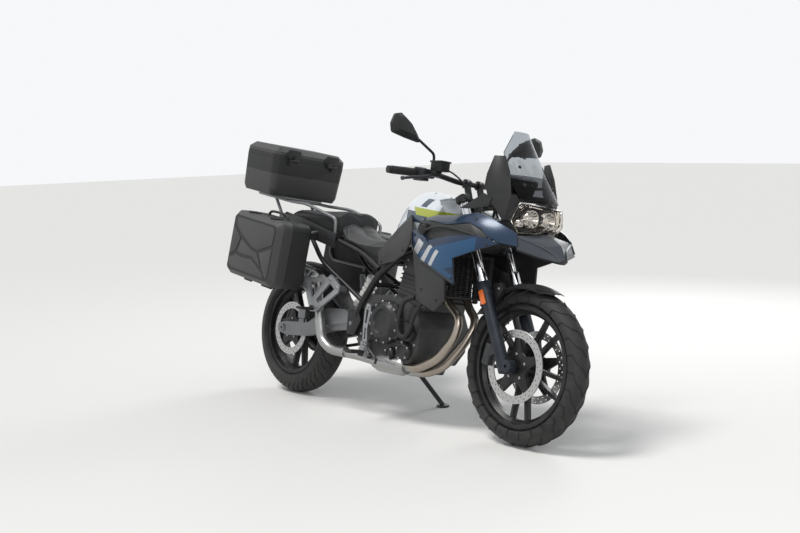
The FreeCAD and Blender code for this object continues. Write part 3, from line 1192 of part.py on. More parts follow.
for x0, x1, owner in KNUCKLES:
    if owner == "lid":
        pannier_lid = fuse([pannier_lid, hinge_part(x0, x1, True)])
    else:
        pannier_shell = fuse([pannier_shell, hinge_part(x0, x1, False)])
pannier_lid = pitched(pannier_lid, PANNIER_X, PANNIER_Z)
pannier_shell = pitched(pannier_shell, PANNIER_X, PANNIER_Z)
node("pannier_shells", *both_sides(pannier_shell))
node("pannier_left_lid", pannier_lid)
node("pannier_right_lid", pannier_lid.mirror(ZERO, Y_AXIS))


def top_place(a, b, d):
    return V(a, b, d)


low, high = -TOP_H / 2, TOP_H / 2
top_rows = [(low, 22), (low + 24, 10), (TOP_PART_Z, 2), (high - 26, 4), (high, 34)]
top_room_rows = [(low + CASE_WALL, 22 + CASE_WALL), (low + 26, 10 + CASE_WALL), (TOP_PART_Z, 2 + CASE_WALL),
                 (high - 28, 4 + CASE_WALL),
                 (high - CASE_WALL, 34 + CASE_WALL)]
top_block = case_block(top_rows, TOP_L / 2, TOP_W / 2, TOP_CORNER, top_place)
top_room = case_block(top_room_rows, TOP_L / 2, TOP_W / 2, TOP_CORNER, top_place)
top_wall = top_block.cut(top_room)
top_shell = top_wall.common(box(-400, 400, -400, 400, -300, TOP_PART_Z))
top_lid = top_wall.common(box(-400, 400, -400, 400, TOP_PART_Z + LID_GAP, 300))
TOP_HINGE_X = TOP_L / 2 + HINGE_OUT
TOP_KNUCKLES = ((-150, -122, "shell"), (-121, -93, "lid"), (93, 121, "lid"), (122, 150, "shell"))


def top_hinge(y0, y1, is_lid):
    """Knuckle of the top case's hinge, at the front edge of the parting line."""
    centre_z = TOP_PART_Z + LID_GAP / 2
    barrel = rod(V(TOP_HINGE_X, y0, centre_z), V(TOP_HINGE_X, y1, centre_z), HINGE_R)
    if is_lid:
        leaf = box(TOP_L / 2 - 5, TOP_HINGE_X + 3, y0, y1, TOP_PART_Z + LID_GAP, TOP_PART_Z + 22)
        bore = rod(V(TOP_HINGE_X, y0 - 1, centre_z), V(TOP_HINGE_X, y1 + 1, centre_z), HINGE_PIN_R + 0.2)
        return fuse([leaf, barrel]).cut(bore)
    leaf = box(TOP_L / 2 - 5, TOP_HINGE_X + 3, y0, y1, TOP_PART_Z - 22, TOP_PART_Z)
    inward = 24 if y0 < 0 else -24
    pin = rod(V(TOP_HINGE_X, (y0 + y1) / 2, centre_z), V(TOP_HINGE_X, (y0 + y1) / 2 + inward, centre_z),
              HINGE_PIN_R)
    return fuse([leaf, barrel, pin])


for y0, y1, owner in TOP_KNUCKLES:
    if owner == "lid":
        top_lid = fuse([top_lid, top_hinge(y0, y1, True)])
    else:
        top_shell = fuse([top_shell, top_hinge(y0, y1, False)])
top_lid = pitched(top_lid, TOP_X, TOP_Z)
top_shell = pitched(top_shell, TOP_X, TOP_Z)
node("top_case_shell", top_shell)
node("top_case_lid", top_lid)

# Luggage rack: rails and plate under the top case, struts to the rear frame, stays for the panniers
RACK_PLATE_T = 6.0
case_foot = -TOP_H / 2 - TOUCH
rack_plate = pitched(box(-110, 130, -118, 118, case_foot - RACK_PLATE_T, case_foot), TOP_X, TOP_Z)
rack_tube_r = 8.0


def under_case(a, y, drop=RACK_PLATE_T + rack_tube_r - 1):
    return V(TOP_X, 0, TOP_Z) + PITCH.multVec(V(a, y, case_foot - drop))


front_end = under_case(190, 112)
rack_rail = bent_tube([under_case(-120, 104), front_end, V(96, 142, 950), V(352, 142, 884),
                       V(352, 136, 806)], rack_tube_r, 0.3)
rear_leg = rod(V(-128, 108, 866), under_case(40, 108), rack_tube_r)
rack_cross = [rod(under_case(a, -106), under_case(a, 106), rack_tube_r) for a in (-100, 120)]
stay_y = PANNIER_IN_Y - TOUCH - 7
case_stay_a = bent_tube([V(216, 120, 819), V(212, stay_y, 800), V(196, stay_y, 640)], 7, 0.3)
case_stay_b = bent_tube([V(-104, 108, 861), V(-112, stay_y, 845), V(-96, stay_y, 690), V(204, stay_y, 664)],
                        7, 0.3)
rack = fuse([rack_plate] + rack_cross + both_sides(rack_rail) + both_sides(rear_leg)
            + both_sides(case_stay_a) + both_sides(case_stay_b))
rack = rack.cut(rear_frame).cut(pillion_seat).cut(fuse(both_sides(pannier_shell)))
rack = rack.cut(tail_back).cut(silencer)
rack = rack.cut(fuse(both_sides(hanger)))
node("luggage_rack", *[s for s in rack.Solids if s.Volume > 5000])

# Resting place of the whole machine: leaned to the left, both tyres and the stand's foot on the ground
lean = math.radians(LEAN_DEG)
sink_front = FRONT_HALF * (1 - math.cos(lean))
sink_rear = REAR_HALF * (1 - math.cos(lean))
settle = FreeCAD.Rotation(Y_AXIS, math.degrees((sink_rear - sink_front) / WHEELBASE))
PARK = FreeCAD.Placement(V(0, 0, sink_rear), settle).multiply(FreeCAD.Placement(ZERO,
    FreeCAD.Rotation(X_AXIS, -LEAN_DEG)))

# Side stand: leg with a foot that lies flat on the ground when the machine leans
foot_top = PARK.inverse().multVec(STAND_FOOT_PARKED + V(0, 0, STAND_FOOT_T - 1))
foot = Part.makeCylinder(30, STAND_FOOT_T, STAND_FOOT_PARKED, Z_AXIS)
foot.Placement = PARK.inverse().multiply(foot.Placement)
leg = rod(STAND_PIVOT, foot_top, STAND_R)
leg_dir = (foot_top - STAND_PIVOT).normalize()
FOLDED_DIR = V(-0.96, 0.22, 0.17)
stand_axis = leg_dir.cross(FOLDED_DIR).normalize()
eye = rod(STAND_PIVOT - stand_axis * 12, STAND_PIVOT + stand_axis * 12, 19)
stand = fuse([leg, eye, foot]).cut(rod(STAND_PIVOT - stand_axis * 40, STAND_PIVOT + stand_axis * 40,
                                       7 + TOUCH))
node("side_stand", stand)
cheeks = [rod(STAND_PIVOT + stand_axis * (12 + TOUCH), STAND_PIVOT + stand_axis * 27, 20),
          rod(STAND_PIVOT - stand_axis * (12 + TOUCH), STAND_PIVOT - stand_axis * 19, 14),
          rod(STAND_PIVOT - stand_axis * 19, STAND_PIVOT + stand_axis * 22, 7)]
arm_root = STAND_PIVOT + stand_axis * 21
stand_arm = rod(arm_root, V(arm_root.x, arm_root.y, STAND_CEILING_Z), 8)
stand_bracket = fuse(cheeks + [stand_arm])
node("stand_bracket", stand_bracket)

# Lean everything over, put the origin on the ground under the middle of the overall box, write the files
parked = {}
for name, solids in NODES.items():
    parked[name] = []
    for solid in solids:
        moved = solid.copy()
        moved.Placement = PARK.multiply(moved.Placement)
        parked[name].append(moved)
overall = FreeCAD.BoundBox()
for solids in parked.values():
    for solid in solids:
        overall.add(solid.optimalBoundingBox(False, False))
ORIGIN = V(-(overall.XMin + overall.XMax) / 2, -(overall.YMin + overall.YMax) / 2, 0)
os.makedirs("parts", exist_ok=True)
for name, solids in parked.items():
    moved = []
    for solid in solids:
        copy = solid.copy()
        copy.Placement = FreeCAD.Placement(ORIGIN, FreeCAD.Rotation()).multiply(copy.Placement)
        moved.append(copy)
    shape = moved[0] if len(moved) == 1 else Part.makeCompound(moved)
    shape.exportStep("parts/" + name + ".step")
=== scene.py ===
import json
import math
import bpy
from mathutils import Matrix, Vector

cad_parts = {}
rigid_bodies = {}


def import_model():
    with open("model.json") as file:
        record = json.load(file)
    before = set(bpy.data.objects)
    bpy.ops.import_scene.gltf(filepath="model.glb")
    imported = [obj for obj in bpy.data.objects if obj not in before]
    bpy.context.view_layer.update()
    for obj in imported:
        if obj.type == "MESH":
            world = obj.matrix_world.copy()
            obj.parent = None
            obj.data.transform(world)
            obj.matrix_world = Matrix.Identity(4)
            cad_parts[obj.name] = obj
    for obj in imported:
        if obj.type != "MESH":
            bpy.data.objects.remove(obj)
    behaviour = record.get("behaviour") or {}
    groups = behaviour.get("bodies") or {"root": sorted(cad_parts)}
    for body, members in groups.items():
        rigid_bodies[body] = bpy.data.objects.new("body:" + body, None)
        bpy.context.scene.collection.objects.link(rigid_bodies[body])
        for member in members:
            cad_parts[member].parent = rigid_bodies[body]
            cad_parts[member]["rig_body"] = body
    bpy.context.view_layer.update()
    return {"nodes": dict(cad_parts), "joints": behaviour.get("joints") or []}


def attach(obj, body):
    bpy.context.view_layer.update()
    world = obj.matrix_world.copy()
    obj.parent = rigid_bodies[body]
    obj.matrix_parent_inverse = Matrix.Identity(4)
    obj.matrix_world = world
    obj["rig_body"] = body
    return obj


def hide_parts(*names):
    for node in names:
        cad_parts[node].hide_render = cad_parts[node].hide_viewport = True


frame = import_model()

# Parked stance: pieces are shaped on the upright machine, X forward from the rear axle, Y to the rider's
# left and Z up, in metres. PARK leans them 10 degrees onto the side stand and both tyres. STEER is the
# fork's own frame, raked 27 degrees.
joints = {j["name"]: j for j in frame["joints"]}
nodes = frame["nodes"]
FRONT_R, REAR_R, WHEELBASE = 0.329, 0.321, 1.559
FRONT_HALF, REAR_HALF = 0.055, 0.075
LEAN = math.radians(10)
sink_front = FRONT_HALF * (1 - math.cos(LEAN))
sink_rear = REAR_HALF * (1 - math.cos(LEAN))
tip = Matrix.Rotation((sink_rear - sink_front) / WHEELBASE, 4, "Y") @ Matrix.Rotation(-LEAN, 4, "X")
parked_axle = Vector(joints["rear_wheel_spin"]["pos_m"])
PARK = Matrix.Translation(parked_axle - tip @ Vector((0, 0, REAR_R))) @ tip
STEER_GROUND_X = WHEELBASE + 0.1045  # where the steering line meets the ground, the trail ahead of the axle
STEER = Matrix.Translation((STEER_GROUND_X, 0, 0)) @ Matrix.Rotation(math.radians(-27), 4, "Y")
upright = PARK.inverted()
SIDES = ((-1, "right"), (1, "left"))

# Viewpoint of the photograph: a medium telephoto from the front right, a little above the handlebar.
# Its place is measured from the leaning machine's rear axle, and its way from the lines of the frame.
CAMERA_FROM_AXLE = Vector((5.0096, -3.58884, 0.99194))
cam_data = bpy.data.cameras.new("photo_camera")
cam_data.sensor_width = 36.0
cam_data.lens = 54.75
cam_data.clip_start, cam_data.clip_end = 0.1, 100
camera = bpy.data.objects.new("photo_camera", cam_data)
bpy.context.scene.collection.objects.link(camera)
right = Vector((0.64807, 0.76118, -0.02456)).normalized()
up = Vector((-0.06864, 0.0905, 0.99353)).normalized()
back = right.cross(up).normalized()
up = back.cross(right)
turn = Matrix((right, up, back)).transposed().to_4x4()
camera.matrix_world = Matrix.Translation(parked_axle + CAMERA_FROM_AXLE) @ turn
bpy.context.scene.camera = camera

# Studio: a plain matt floor under one wide soft lamp high behind the machine's right shoulder, with weak
# fills. The white surroundings come from the world's colour, which metal and glass see too.
def shader_node(tree, kind, inputs=None, **settings):
    """Add a node to a tree; each input is joined to another node's output or given a plain value."""
    made = tree.nodes.new(kind)
    for setting, value in settings.items():
        setattr(made, setting, value)
    for socket, given in (inputs or {}).items():
        if isinstance(given, bpy.types.NodeSocket):
            tree.links.new(given, made.inputs[socket])
        else:
            made.inputs[socket].default_value = given
    return made


def reckon(tree, operation, *values, clamp=False):
    """One step of arithmetic between sockets or numbers, as its output."""
    step = shader_node(tree, "ShaderNodeMath", dict(enumerate(values)), operation=operation,
                       use_clamp=clamp)
    return step.outputs[0]


sun_data = bpy.data.lights.new("high_soft_lamp", "SUN")
sun_data.energy, sun_data.angle, sun_data.color = 2.1, 0.35, (1.0, 0.985, 0.96)
sun = bpy.data.objects.new("high_soft_lamp", sun_data)
sun.rotation_euler = Vector((-0.35, -0.55, 1.25)).to_track_quat("Z", "Y").to_euler()
bpy.context.scene.collection.objects.link(sun)
for lamp_name, spot, size, power in (("front_fill", (4.2, -3.4, 2.6), 2.4, 55),
                                     ("far_rim", (-1.2, 3.6, 2.8), 2.0, 50)):
    data = bpy.data.lights.new(lamp_name, "AREA")
    data.shape, data.size, data.energy = "DISK", size, power
    lamp = bpy.data.objects.new(lamp_name, data)
    lamp.location = spot
    lamp.rotation_euler = (Vector(spot) - Vector((0.1, 0, 0.6))).to_track_quat("Z", "Y").to_euler()
    bpy.context.scene.collection.objects.link(lamp)

bpy.ops.mesh.primitive_plane_add(size=60, location=(0, 0, -0.001))
floor = bpy.context.object
floor.name = "studio_floor"
floor_paint = bpy.data.materials.new("studio_floor")
floor_paint.use_nodes = True
floor_shader = floor_paint.node_tree.nodes["Principled BSDF"]
floor_shader.inputs["Base Color"].default_value = (0.74, 0.735, 0.72, 1)
floor_shader.inputs["Roughness"].default_value = 0.9
floor_shader.inputs["Specular IOR Level"].default_value = 0.1
floor.data.materials.append(floor_paint)

world = bpy.data.worlds.new("studio")
bpy.context.scene.world = world
world.use_nodes = True
studio = world.node_tree
sky = studio.nodes["Background"]
sky.inputs["Color"].default_value = (0.9, 0.93, 0.97, 1)
sky.inputs["Strength"].default_value = 0.5
seen = shader_node(studio, "ShaderNodeBackground", {"Color": (0.92, 0.935, 0.95, 1)})
rays = shader_node(studio, "ShaderNodeLightPath").outputs
seen_by = rays["Is Camera Ray"]
for ray in ("Is Glossy Ray", "Is Transmission Ray"):
    seen_by = reckon(studio, "ADD", seen_by, rays[ray], clamp=True)
pick = shader_node(studio, "ShaderNodeMixShader",
                   {"Fac": seen_by, 1: sky.outputs["Background"], 2: seen.outputs["Background"]})
studio.links.new(pick.outputs["Shader"], studio.nodes["World Output"].inputs["Surface"])
bpy.context.scene.view_settings.view_transform = "Standard"


# Tyres: hollow rings of black road rubber with slanted wavy grooves over the shoulders, seated on the
# rims. One pitch of the tread is shaped from a grid, its grooves are pushed in, and the pitch is spun
# round the axle.
def new_group(name, inputs, outputs):
    """An empty shader group with its sockets, and the nodes of its two ends."""
    group = bpy.data.node_groups.new(name, "ShaderNodeTree")
    for label, kind, value in inputs:
        socket = group.interface.new_socket(name=label, in_out="INPUT", socket_type=kind)
        socket.default_value = value
    for label, kind in outputs:
        group.interface.new_socket(name=label, in_out="OUTPUT", socket_type=kind)
    return group, group.nodes.new("NodeGroupInput"), group.nodes.new("NodeGroupOutput")


road_dust, dust_in, dust_out = new_group(
    "road_dust",
    [("Colour", "NodeSocketColor", (0.5, 0.5, 0.5, 1)), ("Roughness", "NodeSocketFloat", 0.4),
     ("Amount", "NodeSocketFloat", 0.3), ("Scale", "NodeSocketFloat", 14.0)],
    [("Colour", "NodeSocketColor"), ("Roughness", "NodeSocketFloat")])
dust_place = shader_node(road_dust, "ShaderNodeTexCoord").outputs["Object"]
dust_noise = shader_node(road_dust, "ShaderNodeTexNoise",
                         {"Vector": dust_place, "Scale": dust_in.outputs["Scale"], "Detail": 6.0,
                          "Roughness": 0.62}).outputs["Fac"]
height = shader_node(road_dust, "ShaderNodeSeparateXYZ", {"Vector": dust_place}).outputs["Z"]
low_down = shader_node(road_dust, "ShaderNodeMapRange",
                       {"Value": height, "From Min": 0.0, "From Max": 0.75, "To Min": 1.0,
                        "To Max": 0.3}).outputs["Result"]
speckle = shader_node(road_dust, "ShaderNodeMapRange",
                      {"Value": dust_noise, "From Min": 0.36, "From Max": 0.78, "To Min": 0.0,
                       "To Max": 1.0}).outputs["Result"]
settled = reckon(road_dust, "MULTIPLY", speckle, low_down)
share = reckon(road_dust, "MULTIPLY", settled, dust_in.outputs["Amount"], clamp=True)
tint = shader_node(road_dust, "ShaderNodeMix",
                   {"Factor": share, "A": dust_in.outputs["Colour"], "B": (0.150, 0.140, 0.125, 1)},
                   data_type="RGBA")
rougher = shader_node(road_dust, "ShaderNodeMix",
                      {"Factor": share, "A": dust_in.outputs["Roughness"], "B": 0.95}, data_type="FLOAT")
wander = reckon(road_dust, "MULTIPLY_ADD", dust_noise, 0.16, rougher.outputs["Result"])
road_dust.links.new(tint.outputs["Result"], dust_out.inputs["Colour"])
road_dust.links.new(reckon(road_dust, "SUBTRACT", wander, 0.08, clamp=True), dust_out.inputs["Roughness"])

moulded_grain, grain_in, grain_out = new_group(
    "moulded_grain", [("Scale", "NodeSocketFloat", 900.0), ("Depth", "NodeSocketFloat", 1.0)],
    [("Height", "NodeSocketFloat")])
grain_place = shader_node(moulded_grain, "ShaderNodeTexCoord").outputs["Object"]
pebbles = shader_node(moulded_grain, "ShaderNodeTexVoronoi",
                      {"Vector": grain_place, "Scale": grain_in.outputs["Scale"]}, feature="SMOOTH_F1")
ripple = shader_node(moulded_grain, "ShaderNodeTexNoise", {"Vector": grain_place, "Scale": 60.0})
both = reckon(moulded_grain, "MULTIPLY_ADD", ripple.outputs["Fac"], 0.35, pebbles.outputs["Distance"])
depth = reckon(moulded_grain, "MULTIPLY", both, grain_in.outputs["Depth"])
moulded_grain.links.new(depth, grain_out.inputs["Height"])


def emboss(tree, height, distance, strength=1.0):
    """Raise a finish's surface by a height."""
    relief = shader_node(tree, "ShaderNodeBump", {"Height": height, "Distance": distance,
                                                  "Strength": strength})
    tree.links.new(relief.outputs["Normal"], tree.nodes["Principled BSDF"].inputs["Normal"])


def finish(name, colour, roughness=0.4, metallic=0.0, dust=0.3, dust_scale=14.0, grain=0.0,
           grain_scale=900.0, bump=0.0003, coat=0.0, specular=0.34):
    """A finish whose colour and roughness pass through the dust, with a fine moulded grain where asked."""
    made = bpy.data.materials.new(name)
    made.use_nodes = True
    tree = made.node_tree
    shader = tree.nodes["Principled BSDF"]
    for label, value in (("Metallic", metallic), ("Coat Weight", coat), ("Coat Roughness", 0.2),
                         ("Specular IOR Level", specular)):
        shader.inputs[label].default_value = value
    dusty = shader_node(tree, "ShaderNodeGroup", {"Colour": (*colour, 1), "Roughness": roughness,
                                                  "Amount": dust, "Scale": dust_scale},
                        name="dust", node_tree=road_dust)
    tree.links.new(dusty.outputs["Colour"], shader.inputs["Base Color"])
    tree.links.new(dusty.outputs["Roughness"], shader.inputs["Roughness"])
    if grain > 0:
        grained = shader_node(tree, "ShaderNodeGroup", {"Scale": grain_scale, "Depth": grain},
                              node_tree=moulded_grain)
        emboss(tree, grained.outputs["Height"], bump, 0.6)
    return made


def only(piece):
    """Select and activate one piece alone."""
    bpy.ops.object.select_all(action="DESELECT")
    piece.select_set(True)
    bpy.context.view_layer.objects.active = piece


def settle(piece, name, body, material, replaces=(), place=PARK):
    """Bake a new piece's place into its mesh, lean it over, and let it ride on its body."""
    piece.name = name
    piece.data.name = name
    piece.data.transform(place @ piece.matrix_world)
    piece.matrix_world = Matrix.Identity(4)
    piece.data.materials.clear()
    for each in material if isinstance(material, list) else [material]:
        piece.data.materials.append(each)
    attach(piece, body)
    if replaces:
        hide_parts(*replaces)
    return piece


tyre_rubber = finish("tyre_rubber", (0.012, 0.0122, 0.013), roughness=0.62, dust=0.22, dust_scale=22.0,
                     grain=0.5, grain_scale=420.0, bump=0.0004, specular=0.4)
GROOVE_WALL, GROOVE_DEPTH = 0.0011, 0.0042


def tread_tyre(name, node, axle_x, outer_r, half, bead_r, rim_half, pitches, body):
    """A moulded tyre with its walls, beads and grooved tread, closed round its axle."""
    crown_r = outer_r - half
    lip, wall_r = rim_half - 0.0073, bead_r + 0.015
    tread_deg, tread_rows = 68.0, 14
    loop = []
    for k in range(-tread_rows, tread_rows + 1):
        phi = math.radians(tread_deg * k / tread_rows)
        loop.append((crown_r + half * math.cos(phi), half * math.sin(phi), abs(k) / tread_rows))
    side = []
    for phi_deg in (74, 80, 86, 90):
        phi = math.radians(phi_deg)
        side.append((crown_r + half * math.cos(phi), half * math.sin(phi), 1.0))
    between = crown_r - wall_r - 0.004
    for r, y in ((crown_r - between * 0.35, half - 0.0026), (crown_r - between * 0.4, half - 0.0016),
                 (crown_r - between * 0.55, half - 0.0024), (crown_r - between * 0.6, half - 0.0048),
                 (wall_r + 0.004, half - 0.009), (wall_r, lip), (bead_r + 0.0004, lip),
                 (bead_r + 0.0004, lip - 0.009), (wall_r + 0.004, lip - 0.012), (crown_r, half - 0.010),
                 (crown_r + 0.6 * half, 0.55 * half)):
        side.append((r, y, 1.0))
    loop = [(r, -y, t) for r, y, t in reversed(side)] + loop + side
    loop.append(loop[0])
    rows = len(loop) - 1
    shares = (0.0, 0.1, 0.2, 0.29, 0.4, 0.5, 0.6, 0.7, 0.79, 0.9, 1.0)
    columns = len(shares) - 1
    bpy.ops.object.select_all(action="DESELECT")
    bpy.ops.mesh.primitive_grid_add(x_subdivisions=columns, y_subdivisions=rows, size=1)
    piece = bpy.context.object
    mesh = piece.data
    pitch_angle = 2 * math.pi / pitches
    first_tread = len(side)
    for vertex in mesh.vertices:
        i = round((vertex.co.x + 0.5) * columns)
        j = round((vertex.co.y + 0.5) * rows)
        radius, y, t = loop[j]
        slant = 1.15 * t + 0.10 * math.sin(2 * math.pi * t * 1.1)
        angle = (shares[i] + slant) * pitch_angle
        vertex.co = (axle_x + radius * math.cos(angle), y, outer_r + radius * math.sin(angle))
    for face in mesh.polygons:
        i, j = face.index % columns, face.index // columns
        k = j - first_tread - tread_rows
        row = k if k >= 0 else -k - 1
        on_tread = first_tread <= j < first_tread + 2 * tread_rows
        long_column, short_column = (2, 7) if k >= 0 else (7, 2)
        long_groove = i == long_column and 2 <= row <= 13
        short_groove = i == short_column and 6 <= row <= 12
        face.select = on_tread and (long_groove or short_groove)
    only(piece)
    bpy.ops.object.mode_set(mode="EDIT")
    bpy.ops.mesh.select_mode(type="FACE")
    bpy.ops.mesh.inset(thickness=GROOVE_WALL, depth=GROOVE_DEPTH, use_boundary=True, use_even_offset=True)
    bpy.ops.mesh.select_all(action="SELECT")
    bpy.ops.mesh.spin(steps=pitches - 1, dupli=True, angle=2 * math.pi * (pitches - 1) / pitches,
                      center=(axle_x, 0, outer_r), axis=(0, 1, 0))
    bpy.ops.mesh.select_all(action="SELECT")
    bpy.ops.mesh.remove_doubles(threshold=0.00008)
    bpy.ops.mesh.normals_make_consistent(inside=False)
    bpy.ops.object.mode_set(mode="OBJECT")
    bpy.ops.object.shade_smooth_by_angle(angle=math.radians(30))
    settle(piece, name, body, tyre_rubber, (node,))


tread_tyre("front_tyre_tread", "front_tyre", WHEELBASE, FRONT_R, FRONT_HALF, 0.243, 0.038, 26,
           "front_wheel")
tread_tyre("rear_tyre_tread", "rear_tyre", 0.0, REAR_R, REAR_HALF, 0.217, 0.060, 24, "rear_wheel")


# Wheels: cast aluminium rims painted satin black, each with a rubber valve. Stainless discs scored in
# rings by the pads, and the chain wheel, are screwed on. Each keeps its solid's form, the rims' edges
# rounded.
def applied(piece, kind, **settings):
    """Run one modifier on the active piece and keep its result."""
    step = piece.modifiers.new("step", kind)
    for setting, value in settings.items():
        setattr(step, setting, value)
    bpy.ops.object.modifier_apply(modifier="step")


def softened_copy(node, material, width=0.0012, steps=2, angle=28):
    """The node's own shape, its loose triangles merged, its edges rounded and its curved faces smooth."""
    source = nodes[node]
    piece = source.copy()
    piece.data = source.data.copy()
    for key in list(piece.keys()):
        if key.startswith("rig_"):
            del piece[key]
    bpy.context.scene.collection.objects.link(piece)
    piece.parent = None
    piece.matrix_world = Matrix.Identity(4)
    only(piece)
    bpy.ops.object.mode_set(mode="EDIT")
    bpy.ops.mesh.select_all(action="SELECT")
    bpy.ops.mesh.remove_doubles(threshold=0.00002)
    bpy.ops.mesh.customdata_custom_splitnormals_clear()
    bpy.ops.mesh.dissolve_limited(angle_limit=math.radians(1.5))
    bpy.ops.object.mode_set(mode="OBJECT")
    if width > 0:
        applied(piece, "BEVEL", width=width, segments=steps, limit_method="ANGLE",
                angle_limit=math.radians(angle))
    bpy.ops.object.shade_smooth_by_angle(angle=math.radians(34))
    return settle(piece, node + "_dressed", source["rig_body"], material, (node,), place=Matrix.Identity(4))


def refinish(piece, index, chosen):
    """Give one of a piece's finishes to the faces chosen by their place and way on the upright machine."""
    for face in piece.data.polygons:
        if chosen(upright @ face.center, upright.to_3x3() @ face.normal):
            face.material_index = index


def touch(node, start, direction):
    """Where a line on the upright machine first meets a dressed node, and the way that surface faces."""
    bpy.context.view_layer.update()
    piece = bpy.data.objects[node + "_dressed"]
    hit, spot, normal, _ = piece.ray_cast(PARK @ Vector(start), PARK.to_3x3() @ Vector(direction))
    return (upright @ spot, (upright.to_3x3() @ normal).normalized()) if hit else None


def aimed(spot, way):
    """The place of a piece whose own upward direction points along a way."""
    return Matrix.Translation(spot) @ way.to_track_quat("Z", "Y").to_matrix().to_4x4()


def joined(pieces):
    """Several like pieces made one."""
    only(pieces[0])
    for piece in pieces:
        piece.select_set(True)
    bpy.ops.object.join()
    return bpy.context.object


def screw_heads(name, body, material, spots, radius, height):
    """Socket-head screws at pairs of place and direction: one head is shaped, then copied to each place."""
    bpy.ops.object.select_all(action="DESELECT")
    bpy.ops.mesh.primitive_cylinder_add(vertices=18, radius=radius, depth=height)
    head = bpy.context.object
    for face in head.data.polygons:
        face.select = face.normal.z > 0.9
    bpy.ops.object.mode_set(mode="EDIT")
    bpy.ops.mesh.select_mode(type="FACE")
    bpy.ops.mesh.inset(thickness=radius * 0.16, depth=radius * 0.12)
    bpy.ops.mesh.inset(thickness=radius * 0.34, depth=0)
    bpy.ops.mesh.inset(thickness=radius * 0.02, depth=-height * 0.7)
    bpy.ops.object.mode_set(mode="OBJECT")
    copies = []
    for spot, facing in [found for found in spots if found]:
        one = head.copy()
        one.data = head.data.copy()
        bpy.context.scene.collection.objects.link(one)
        one.matrix_world = aimed(spot + facing * height * 0.32, facing)
        copies.append(one)
    bpy.data.objects.remove(head)
    heads = joined(copies)
    bpy.ops.object.shade_smooth_by_angle(angle=math.radians(30))
    settle(heads, name, body, material)


satin_black = finish("satin_black_paint", (0.012, 0.0125, 0.0135), roughness=0.33, metallic=0.2, dust=0.2,
                     dust_scale=18.0, grain=0.15, grain_scale=1500.0, bump=0.0001)
zinc = finish("zinc_plate", (0.42, 0.42, 0.43), roughness=0.32, metallic=1.0, dust=0.25, dust_scale=60.0)
softened_copy("front_rim", satin_black, 0.0016)
softened_copy("rear_rim", satin_black, 0.0016)


def upright_coords(tree):
    """Object coordinates turned back to the upright machine."""
    place = shader_node(tree, "ShaderNodeTexCoord").outputs["Object"]
    turned = shader_node(tree, "ShaderNodeMapping",
                         {"Vector": place, "Location": PARK.to_translation(),
                          "Rotation": PARK.to_euler("XYZ")}, vector_type="TEXTURE")
    return turned.outputs["Vector"]


def ringed_steel(name, centre, colour, roughness):
    """Bare steel with fine rings about its middle."""
    made = finish(name, colour, roughness=roughness, metallic=1.0, dust=0.1, dust_scale=30.0)
    tree = made.node_tree
    middle = shader_node(tree, "ShaderNodeVectorMath", {0: upright_coords(tree), 1: centre},
                         operation="SUBTRACT")
    rings = shader_node(
        tree, "ShaderNodeTexWave",
        {"Vector": middle.outputs["Vector"], "Scale": 260.0, "Distortion": 1.4, "Detail": 3.0},
        wave_type="RINGS", rings_direction="Y")
    emboss(tree, rings.outputs["Fac"], 0.00006, 0.5)
    return made


front_disc_steel = ringed_steel("front_disc_steel", (WHEELBASE, 0, FRONT_R), (0.46, 0.46, 0.45), 0.3)
softened_copy("front_discs", front_disc_steel, 0.0)
rear_disc_steel = ringed_steel("rear_disc_steel", (0, 0, REAR_R), (0.44, 0.44, 0.43), 0.33)
softened_copy("rear_disc", rear_disc_steel, 0.0)
softened_copy("rear_sprocket", rear_disc_steel, 0.0)


def round_spots(node, side, x, z, radius, count, first):
    """Where lines from one flank meet a dressed node, evenly round a circle from its first place on."""
    angles = [2 * math.pi * (k + first) / count for k in range(count)]
    return [touch(node, (x + radius * math.cos(angle), side * 0.4, z + radius * math.sin(angle)),
                  (0, -side, 0)) for angle in angles]


for name, wheel, side, axle_x, axle_z, radius in (("front", "front", -1, WHEELBASE, FRONT_R, 0.052),
                                                  ("front_left", "front", 1, WHEELBASE, FRONT_R, 0.052),
                                                  ("rear", "rear", -1, 0.0, REAR_R, 0.05)):
    spots = round_spots(wheel + "_rim", side, axle_x, axle_z, radius, 5, 0.25)
    screw_heads(name + "_disc_screws", wheel + "_wheel", zinc, spots, 0.006, 0.004)
VALVE_ANGLE = 2.2
for wheel, axle_x, axle_z, rim_r in (("front_wheel", WHEELBASE, FRONT_R, 0.232),
                                     ("rear_wheel", 0.0, REAR_R, 0.206)):
    spot = (axle_x + rim_r * 0.94 * math.cos(VALVE_ANGLE), -0.004,
            axle_z + rim_r * 0.94 * math.sin(VALVE_ANGLE))
    bpy.ops.object.select_all(action="DESELECT")
    bpy.ops.mesh.primitive_cone_add(vertices=16, radius1=0.0046, radius2=0.0030, depth=0.026,
                                    location=spot, rotation=(0, -math.pi / 2 - VALVE_ANGLE, 0))
    settle(bpy.context.object, wheel + "_valve", wheel, tyre_rubber)

# Chain: an endless loop of oiled steel side plates and rollers round both chain wheels.
# It keeps its solid's scalloped form and rides on the frame.
softened_copy("chain", finish("oiled_chain", (0.08, 0.075, 0.07), roughness=0.42, metallic=0.9, dust=0.5,
                              dust_scale=60.0), 0.0)

